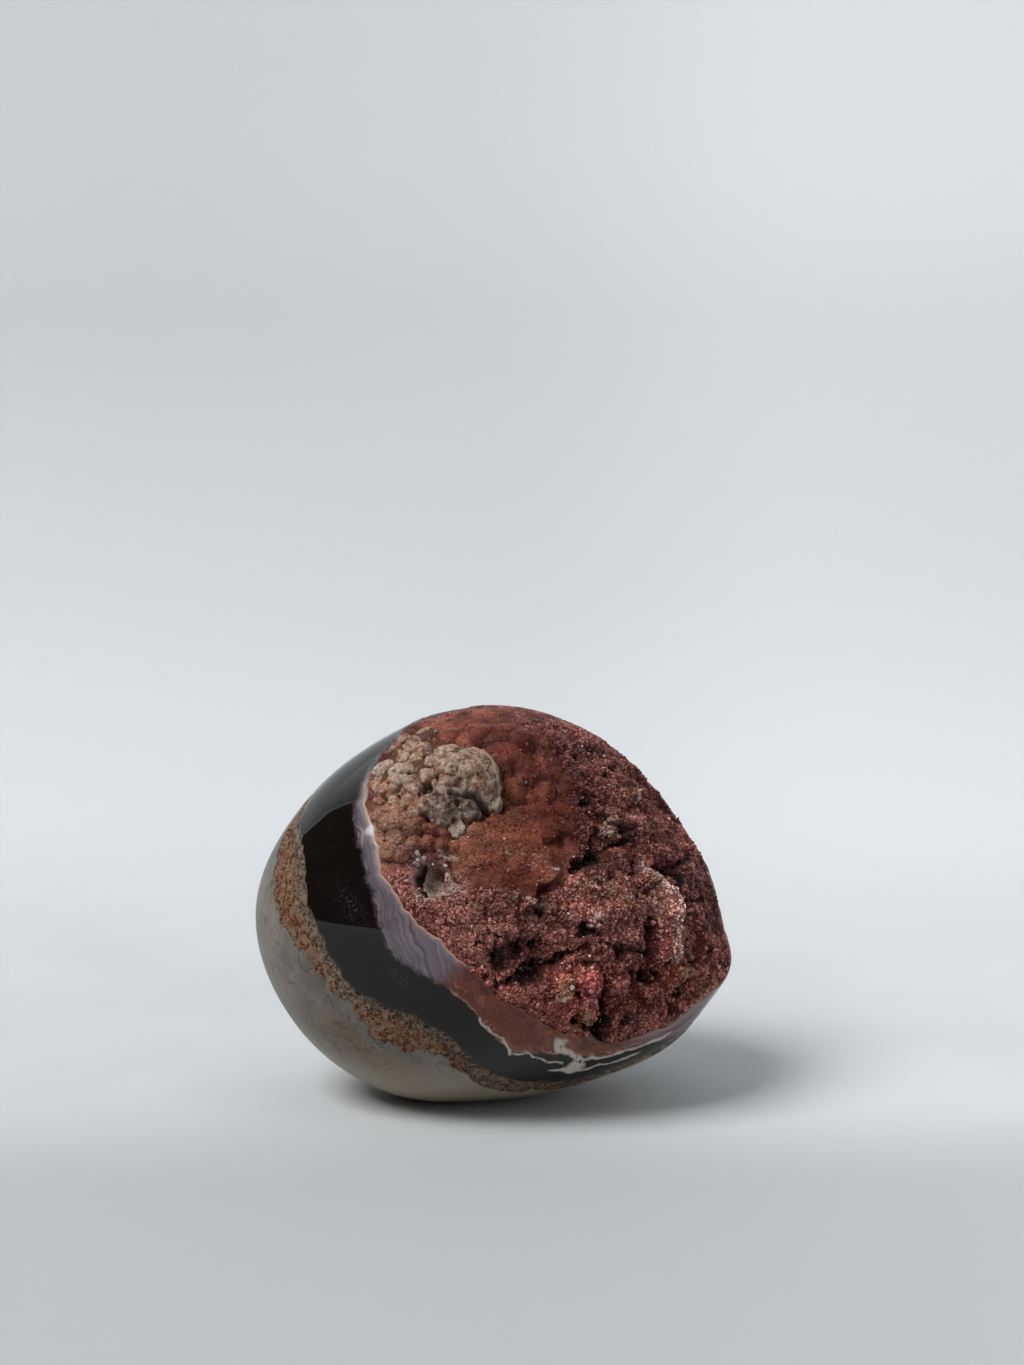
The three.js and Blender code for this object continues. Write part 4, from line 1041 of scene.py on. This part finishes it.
def disc_grid(count):
    """Reach and turn of a square grid of points bent into a disc."""
    side = np.linspace(-1, 1, count)
    x, y = np.meshgrid(side, side, indexing="xy")
    wide = np.abs(x) >= np.abs(y)
    safe_x, safe_y = np.where(x == 0, 1e-9, x), np.where(y == 0, 1e-9, y)
    turn = np.where(wide, math.pi / 4 * y / safe_x, math.pi / 2 - math.pi / 4 * x / safe_y)
    reach = np.where(wide, x, y)
    return np.abs(reach).ravel(), np.where(reach < 0, turn + math.pi, turn).ravel()


def edge_loop(count):
    """The points round the edge of a square grid, in order."""
    grid = np.arange(count * count).reshape(count, count)
    return np.concatenate([grid[0, :-1], grid[:-1, -1], grid[-1, :0:-1], grid[:0:-1, 0]]).tolist()


def skirt_faces(loop, core):
    """Faces that close an open edge onto one inner point."""
    return [(loop[(i + 1) % len(loop)], loop[i], core) for i in range(len(loop))]


def make_druse_crust():
    """The whole natural face as one fine crust, closed behind."""
    count, overlap = 304, 1.012
    reach, turn = disc_grid(count)
    way = face_way(rim_angle(turn) * reach * overlap, turn)
    radius, found = face_surface(way)
    point = way * radius[:, None]
    tint = face_tint(found, point)
    faces = grid_faces(count, count)
    faces += skirt_faces(edge_loop(count), count * count)
    points = to_row(np.vstack([point, np.zeros((1, 3))]))
    floats = {key: np.append(found[key], 0) for key in ("light_by_height", "calm")}
    piece = make_piece("druse_crust", points, faces, floats=floats,
                       colours={"tint": np.vstack([tint, [0, 0, 0]])})
    piece.data.materials.append(face_material("stained_quartz"))
    return piece


POINT_SIZES = [("fine", 0.13, 0.28), ("middle", 0.16, 0.38), ("coarse", 0.19, 0.46)]
POINT_COUNT = 16000
POINT_REACH = 0.995
POINT_TILT = 0.34
SLOPE_GAP = 0.18


def druse_share(u, v):
    """Share of the quartz points that stay at a place on the face."""
    return 1 - 0.97 * nodular(u, v)


def make_points(name, small, large):
    """Six-sided quartz points that stand on the druse, as one mesh."""
    tries = POINT_COUNT * 4
    reach = np.sqrt(rng.random(tries)) * POINT_REACH
    turn = rng.random(tries) * 2 * math.pi
    way = face_way(rim_angle(turn) * reach, turn)
    place = way * plain_radius(way)[:, None]
    chosen = rng.random(tries) < druse_share(place @ RIGHT, place @ UP)
    way = way[chosen][:POINT_COUNT]
    count = len(way)
    radius, found = face_surface(way)
    root = way * radius[:, None]
    side_a = unit(np.cross(way, UP))
    side_b = np.cross(way, side_a)
    slopes = []
    for side in (side_a, side_b):
        beside = face_surface(unit(way + side * (SLOPE_GAP / radius)[:, None]))[0]
        slopes.append((beside - radius) / SLOPE_GAP)
    normal = unit(way - slopes[0][:, None] * side_a - slopes[1][:, None] * side_b)
    axis = unit(normal + rng.normal(0, POINT_TILT, (count, 3)))
    size = small + (large - small) * rng.random(count) ** 2.5
    height = size * rng.uniform(0.8, 1.5, count)
    across = unit(np.cross(axis, side_a + 0.3 * side_b))
    third = np.cross(axis, across)
    spin = rng.random(count) * math.pi
    rings = []
    for k in range(6):
        turned = spin + k * math.pi / 3
        edge = np.cos(turned)[:, None] * across + np.sin(turned)[:, None] * third
        rings.append(root - axis * (0.5 * size)[:, None] + edge * size[:, None])
    rings.append(root + axis * height[:, None])
    points = np.stack(rings, axis=1).reshape(-1, 3)
    far = np.linalg.norm(points, axis=1)
    limit = np.repeat(found["shell"] + 0.08, 7)
    points = points * (np.minimum(far, limit) / far)[:, None]
    shape = [(k, (k + 1) % 6, 6) for k in range(6)] + [(5, 4, 3, 2, 1, 0)]
    faces = [tuple(7 * i + k for k in face) for i in range(count) for face in shape]
    tint = np.repeat(face_tint(found, root), 7, axis=0)
    floats = {"tone": np.repeat(rng.random(count), 7), "light_by_height": np.repeat(found["light_by_height"], 7)}
    piece = make_piece("druse_points_" + name, to_row(points), faces, floats=floats,
                       colours={"tint": tint}, flat=True)
    piece.data.materials.append(crystal_material())
    return piece


LUMP_TINTS = [
    (-14, 18, 2.2, 1.5, (190, 164, 140)), (-13.6, 14.6, 2.4, 1.6, (166, 148, 122)),
    (-17.6, 17.4, 1.8, 1.5, (176, 148, 116)), (-17, 13.2, 1.7, 1.6, (174, 136, 106)),
    (-14.6, 10.6, 1.5, 1.3, (164, 142, 114)), (-9.8, 9.4, 1.6, 1.8, (134, 108, 78)),
    (-9.6, 13.0, 1.6, 1.5, (136, 102, 80)), (-9.2, 16.4, 1.8, 1.4, (162, 134, 106)),
    (-16.6, 7.0, 1.8, 2.6, (96, 68, 48)), (-12.6, 7.0, 1.4, 3.0, (88, 60, 42)),
    (-20.6, 16.6, 2.0, 1.8, (192, 176, 160)), (-23.4, 18.8, 2.0, 1.8, (192, 174, 152)),
    (-20.6, 13, 1.7, 1.5, (160, 140, 116)), (-24.4, 14.4, 1.8, 2.4, (196, 144, 110)),
    (-21.6, 9.6, 1.8, 2.0, (176, 132, 98)), (-18.2, 22.8, 1.8, 1.6, (152, 110, 78)),
    (-14.4, 26.4, 1.8, 1.8, (166, 134, 84)), (-19.6, 20.2, 1.8, 1.4, (188, 162, 138)),
    (-15.2, 4.6, 1.4, 2.4, (186, 172, 156)), (-18.4, 10.4, 1.4, 1.4, (140, 104, 84)),
    (-26, 11, 1.6, 1.6, (184, 132, 108)), (-13.6, 8.6, 1.8, 2.2, (122, 90, 64)),
]
LUMP_BASE = (162, 132, 110)


def lump_tint(u, v, point):
    """Colour of the lump at each place, linear."""
    total = np.tile(linear(LUMP_BASE), (len(u), 1))
    weight = np.ones(len(u))
    bent = bend(point, 1.2, 0.7, 211)
    for u0, v0, reach, strength, srgb in LUMP_TINTS:
        away = (u + bent[:, 0] - u0) ** 2 + (v + bent[:, 1] - v0) ** 2
        amount = 2.0 * strength * np.exp(-away / reach**2)
        total = total + amount[:, None] * linear(srgb)
        weight = weight + amount
    return total / weight[:, None]


def make_pale_lump():
    """The beige lump of fused nodules, as its own fine mesh that rises out of the crust."""
    count = 250
    u, v = np.meshgrid(np.linspace(-29, -5.5, count), np.linspace(1.5, 29.5, count), indexing="xy")
    u, v = u.ravel(), v.ravel()
    height = np.sqrt(np.maximum(EGG_MEAN**2 - u**2 - v**2, 1)) * 0.75
    way = unit(u[:, None] * RIGHT + v[:, None] * UP + height[:, None] * FACE_AXIS)
    plain = plain_radius(way)
    base = way * plain[:, None]
    u, v = base @ RIGHT, base @ UP
    balls = lump_radius(way, base, plain)
    point = way * np.maximum(balls, plain)[:, None]
    wander = bend(point, 1.0, 0.35, 141)
    small = bubbles(point + wander, 1.25, 151) - 0.6
    pores = bubbles(point + 0.5 * wander, 0.55, 171) - 0.6
    ridges = np.zeros(len(u))
    for line in EAR_RIDGES:
        ridges = np.maximum(ridges, np.exp(-((line_distance(u, v, line) / 0.22) ** 2)))
    far = np.hypot(u - CRATER["u"], v - CRATER["v"]) + 0.2 * noise(point / 0.8, 191)
    ring = np.exp(-(((far - CRATER["rim"] - 0.35) / 0.35) ** 2))
    crater = 1 - smooth(far, 0.6 * CRATER["rim"], CRATER["rim"] + 0.1)
    seed = smooth(far, CRATER["seed"] + 0.15, 0.0)
    # Where the cleft and holes sink; the same mask paints their shade.
    hole_sink_and_shade = 1 - smooth(line_distance(u, v, LUMP_CLEFT) + 0.25 * noise(point / 0.7, 197), 0.15, 0.6)
    for u0, v0, half in LUMP_HOLES:
        away = np.hypot(u - u0, v - v0) + 0.3 * half * noise(point / 0.4, 195)
        hole_sink_and_shade = np.maximum(hole_sink_and_shade, 1 - smooth(away, 0.4 * half, 1.1 * half))
    body = ball_reach(way, BODY_BALLS, bend(base, 2.6, 0.03, 131), 0.7)[0]
    crease = smooth(balls - np.maximum(body, plain), 0.0, 0.35)
    apart = ball_reach(way, NODULE_BALLS, bend(base, 1.5, 0.022, 135), 0.3)[1]
    joint = 1 - smooth(apart, 0.0, 0.3)
    folds = np.abs(noise(point / 1.2 + wander, 203)) + 0.5 * np.abs(noise(point / 0.6 + wander, 205))
    radius = balls + 0.16 * small + 0.08 * pores + 0.06 * noise(point / 0.35, 201)
    radius = radius - 0.12 * joint + 0.32 * folds
    radius = radius + 0.4 * ridges + 0.25 * ring - CRATER["depth"] * crater
    radius = radius + 0.8 * seed * crater - 0.9 * hole_sink_and_shade
    sunk = plain - 2.2
    radius = np.where(balls > 0, np.maximum(radius, sunk), sunk)
    point = way * radius[:, None]
    faces = grid_faces(count, count)
    faces += skirt_faces(edge_loop(count), count * count)
    points = to_row(np.vstack([point, np.zeros((1, 3))]))
    # Painted light by height: lighter on nodule tops and folds, painted shade at the joints between
    # nodules.
    light_by_height = 0.25 + 0.5 * crease + 0.4 * small - 0.45 * joint + 0.9 * (folds - 0.3)
    floats = {"light_by_height": np.clip(light_by_height, 0, 1), "ridge": ridges,
              "hole_sink_and_shade": np.clip(hole_sink_and_shade + crater - 0.8 * seed, 0, 1)}
    floats = {key: np.append(row, 0) for key, row in floats.items()}
    tint = np.vstack([lump_tint(u, v, base), [0, 0, 0]])
    piece = make_piece("pale_lump", points, faces, floats=floats, colours={"tint": tint})
    piece.data.materials.append(lump_material())
    return piece


# Groups of larger crystals: u, v, spread, how many, smallest and largest radius, sRGB colour.
CRYSTAL_GROUPS = [
    (-0.9, -21.6, 1.6, 40, 0.20, 0.46, (172, 118, 68)), (-1.4, -22.6, 0.9, 14, 0.20, 0.42, (190, 164, 136)),
    (3.4, -26.2, 1.0, 14, 0.35, 0.75, (160, 104, 74)), (1.5, -28.4, 1.3, 18, 0.30, 0.55, (166, 90, 72)),
    (3.4, -23.2, 1.4, 20, 0.25, 0.50, (172, 88, 84)), (22.0, -15.2, 1.6, 16, 0.45, 0.90, (146, 104, 72)),
    (19.8, -20.4, 1.8, 20, 0.40, 0.80, (138, 86, 64)), (23.6, -20.2, 2.0, 22, 0.40, 0.85, (132, 74, 56)),
    (-22.6, 0.6, 1.2, 26, 0.22, 0.50, (170, 138, 138)), (-25.6, -2.2, 1.5, 60, 0.18, 0.40, (168, 98, 88)),
    (-24.4, -5.0, 1.4, 50, 0.16, 0.36, (164, 88, 78)), (9.4, 2.0, 1.2, 24, 0.22, 0.45, (180, 156, 144)),
    (20.0, 10.4, 1.2, 14, 0.30, 0.60, (160, 130, 108)), (3.0, -12.4, 1.2, 14, 0.25, 0.40, (170, 128, 118)),
    (8.8, -22.4, 2.6, 26, 0.30, 0.55, (128, 66, 58)), (25.6, -12.0, 2.2, 20, 0.35, 0.65, (132, 74, 66)),
]


def make_crystals():
    """Larger stained crystals: six-sided prisms that end in points, in groups, as one mesh."""
    points, faces, tints, tones = [], [], [], []
    for u0, v0, spread, count, small, large, srgb in CRYSTAL_GROUPS:
        for _ in range(count):
            away, turn = spread * math.sqrt(rng.random()), rng.random() * 2 * math.pi
            way = way_at(u0 + away * math.cos(turn), v0 + away * math.sin(turn))
            radius, found = face_surface(way[None])
            size = small + (large - small) * rng.random() ** 2
            axis = way + 0.55 * rng.normal(0, 1, 3)
            axis = axis / np.linalg.norm(axis)
            across = np.cross(axis, UP)
            across = across / np.linalg.norm(across)
            third = np.cross(axis, across)
            root = way * float(radius[0])
            spin, length = rng.random() * math.pi, size * rng.uniform(0.5, 1.3)
            start = len(points)
            for level in (-1.2 * size, length):
                for k in range(6):
                    turned = spin + k * math.pi / 3
                    edge = math.cos(turned) * across + math.sin(turned) * third
                    points.append(root + axis * level + edge * size)
            points.append(root + axis * (length + size * rng.uniform(0.7, 1.1)))
            limit = float(found["shell"][0]) + 0.1
            for i in range(start, len(points)):
                far = np.linalg.norm(points[i])
                points[i] = points[i] * min(1, limit / far)
            faces.append(tuple(start + k for k in (5, 4, 3, 2, 1, 0)))
            for k in range(6):
                follow = (k + 1) % 6
                faces.append((start + k, start + follow, start + 6 + follow, start + 6 + k))
                faces.append((start + 6 + k, start + 6 + follow, start + 12))
            shade = linear(srgb) * rng.uniform(0.55, 1.1)
            tints += [shade] * 13
            tones += [rng.random()] * 13
    floats = {"tone": tones, "light_by_height": [1.0] * len(tones)}
    piece = make_piece("stained_crystals", to_row(np.array(points)), faces, floats=floats,
                       colours={"tint": np.array(tints)}, flat=True)
    piece.data.materials.append(crystal_material(glow=0.12))
    return piece


def make_stage():
    """A pale floor that sweeps up into a low backdrop, with painted shade to the front, painted light
    further back and to the right, and a painted glow up the backdrop.
    """
    left, right, front, back, bend_radius, top = -0.62, 3.0, -3.0, 0.42, 0.18, 0.36
    profile = [(front, 0.0), (back - bend_radius, 0.0)]
    for k in range(1, 13):
        a = k / 12 * math.pi / 2
        profile.append((back - bend_radius + bend_radius * math.sin(a), bend_radius * (1 - math.cos(a))))
    profile.append((back, top))
    points = [(x, y, z) for y, z in profile for x in (left if z > 0 else -3.0, right)]
    faces = [(2 * i, 2 * i + 1, 2 * i + 3, 2 * i + 2) for i in range(len(profile) - 1)]
    mesh = bpy.data.meshes.new("floor")
    mesh.from_pydata(points, [], faces)
    mesh.polygons.foreach_set("use_smooth", np.full(len(faces), True))
    floor = bpy.data.objects.new("floor", mesh)
    bpy.context.scene.collection.objects.link(floor)
    g = Graph("pale_paper")
    near = g.mix(g.span(g.noise(0.02, 1.0), 0.35, 0.65), colour(199, 202, 205), colour(203, 206, 208))
    place = g.node("ShaderNodeSeparateXYZ")
    g.feed(place.inputs[0], g.place)
    # Painted shade: darker towards the front.
    near = g.mix(g.span(place.outputs["Y"], -6.0, -52.0), near, colour(180, 183, 186))
    # Painted light: paler further back and lighter towards the right.
    base = g.mix(g.span(place.outputs["Y"], 20.0, 300.0), near, colour(211, 215, 217))
    side = g.span(place.outputs["X"], -10.0, 130.0, 1.0, 1.11)
    base = g.stain(base, side)
    # Painted light: the backdrop glows, more to the right, though it is no lamp.
    rightward = g.span(place.outputs["X"], -170.0, 170.0, 0.08, 0.2)
    glow = g.times(g.span(place.outputs["Z"], 50.0, 260.0), rightward)
    normal = g.bump(g.noise(0.12, 1.0, 0.6), 0.4, 0.35)
    mesh.materials.append(g.finish(Base_Color=base, Roughness=0.9, Normal=normal, Specular_IOR_Level=0.2,
                                   Emission_Color=(0.93, 0.98, 1.0), Emission_Strength=glow))


def make_camera():
    """The photograph's view: 50 mm lens, a little above the stone and tipped down."""
    distance, elevation, tip, swing = 333.86, LEAN, math.radians(5.0), math.radians(-0.613)
    eye = CENTRE + distance * np.array([0, -math.cos(elevation), math.sin(elevation)])
    camera = bpy.data.cameras.new("camera")
    camera.lens = 50
    camera.sensor_width = 36
    camera.clip_start, camera.clip_end = 0.01, 20
    holder = bpy.data.objects.new("camera", camera)
    holder.location = Vector(eye) * MM
    holder.rotation_euler = (math.pi / 2 - tip, 0, swing)
    bpy.context.scene.collection.objects.link(holder)
    bpy.context.scene.camera = holder


def add_area(name, azimuth, elevation, distance, size, power, tint=(1, 1, 1)):
    """A soft square light aimed at the stone. Azimuth is from +Y towards +X."""
    a, e = math.radians(azimuth), math.radians(elevation)
    way = Vector((math.sin(a) * math.cos(e), math.cos(a) * math.cos(e), math.sin(e)))
    light = bpy.data.lights.new(name, "AREA")
    light.size, light.energy, light.color = size, power, tint
    holder = bpy.data.objects.new(name, light)
    holder.location = way * distance + Vector(CENTRE) * MM
    holder.rotation_euler = way.to_track_quat("Z", "Y").to_euler()
    bpy.context.scene.collection.objects.link(holder)


# Brightness of the room from the side away from its bright half to the middle of that half.
ROOM_STOPS = [
    (0.0, 0.05), (0.497, 0.04), (0.5, 0.8), (0.506, 0.8),
    (0.512, 0.5), (0.56, 0.68), (0.68, 1.0), (1.0, 1.0),
]
BRIGHT_SIDE = (0.644, 0.620, 0.449)


def make_world():
    """A pale room whose bright half lies behind and above, with one straight edge to the left."""
    world = bpy.data.worlds.new("room")
    bpy.context.scene.world = world
    world.use_nodes = True
    tree = world.node_tree
    tree.nodes.clear()
    link = tree.links.new
    way = tree.nodes.new("ShaderNodeTexCoord").outputs["Generated"]
    dot = tree.nodes.new("ShaderNodeVectorMath")
    dot.operation = "DOT_PRODUCT"
    link(way, dot.inputs[0])
    dot.inputs[1].default_value = BRIGHT_SIDE
    ramp = tree.nodes.new("ShaderNodeValToRGB")
    shift = tree.nodes.new("ShaderNodeMath")
    shift.operation = "MULTIPLY_ADD"
    shift.inputs[1].default_value = 0.5
    shift.inputs[2].default_value = 0.5
    link(dot.outputs["Value"], shift.inputs[0])
    link(shift.outputs[0], ramp.inputs[0])
    elements = ramp.color_ramp.elements
    while len(elements) < len(ROOM_STOPS):
        elements.new(0.5)
    for element, (place, level) in zip(elements, ROOM_STOPS):
        element.position = place
        element.color = (level * 0.97, level, level * 1.02, 1)
    room = tree.nodes.new("ShaderNodeBackground")
    link(ramp.outputs["Color"], room.inputs["Color"])
    dim = tree.nodes.new("ShaderNodeMath")
    dim.operation = "MULTIPLY_ADD"
    dim.inputs[1].default_value = -0.4
    dim.inputs[2].default_value = 1.0
    seen = tree.nodes.new("ShaderNodeBackground")
    seen.inputs["Color"].default_value = (*linear((214, 221, 225)), 1)
    rays = tree.nodes.new("ShaderNodeLightPath")
    mix = tree.nodes.new("ShaderNodeMixShader")
    link(rays.outputs["Is Diffuse Ray"], dim.inputs[0])
    link(dim.outputs[0], room.inputs["Strength"])
    link(rays.outputs["Is Camera Ray"], mix.inputs[0])
    link(room.outputs[0], mix.inputs[1])
    link(seen.outputs[0], mix.inputs[2])
    output = tree.nodes.new("ShaderNodeOutputWorld")
    link(mix.outputs[0], output.inputs["Surface"])


make_camera()
body = make_polished_body()
make_druse_crust()
for name, small, large in POINT_SIZES:
    make_points(name, small, large)
make_crystals()
make_pale_lump()
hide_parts(STONE)
make_stage()
make_world()
add_area("key", -121, 54, 3.6, 1.7, 118)
bpy.context.scene.view_settings.view_transform = "Standard"
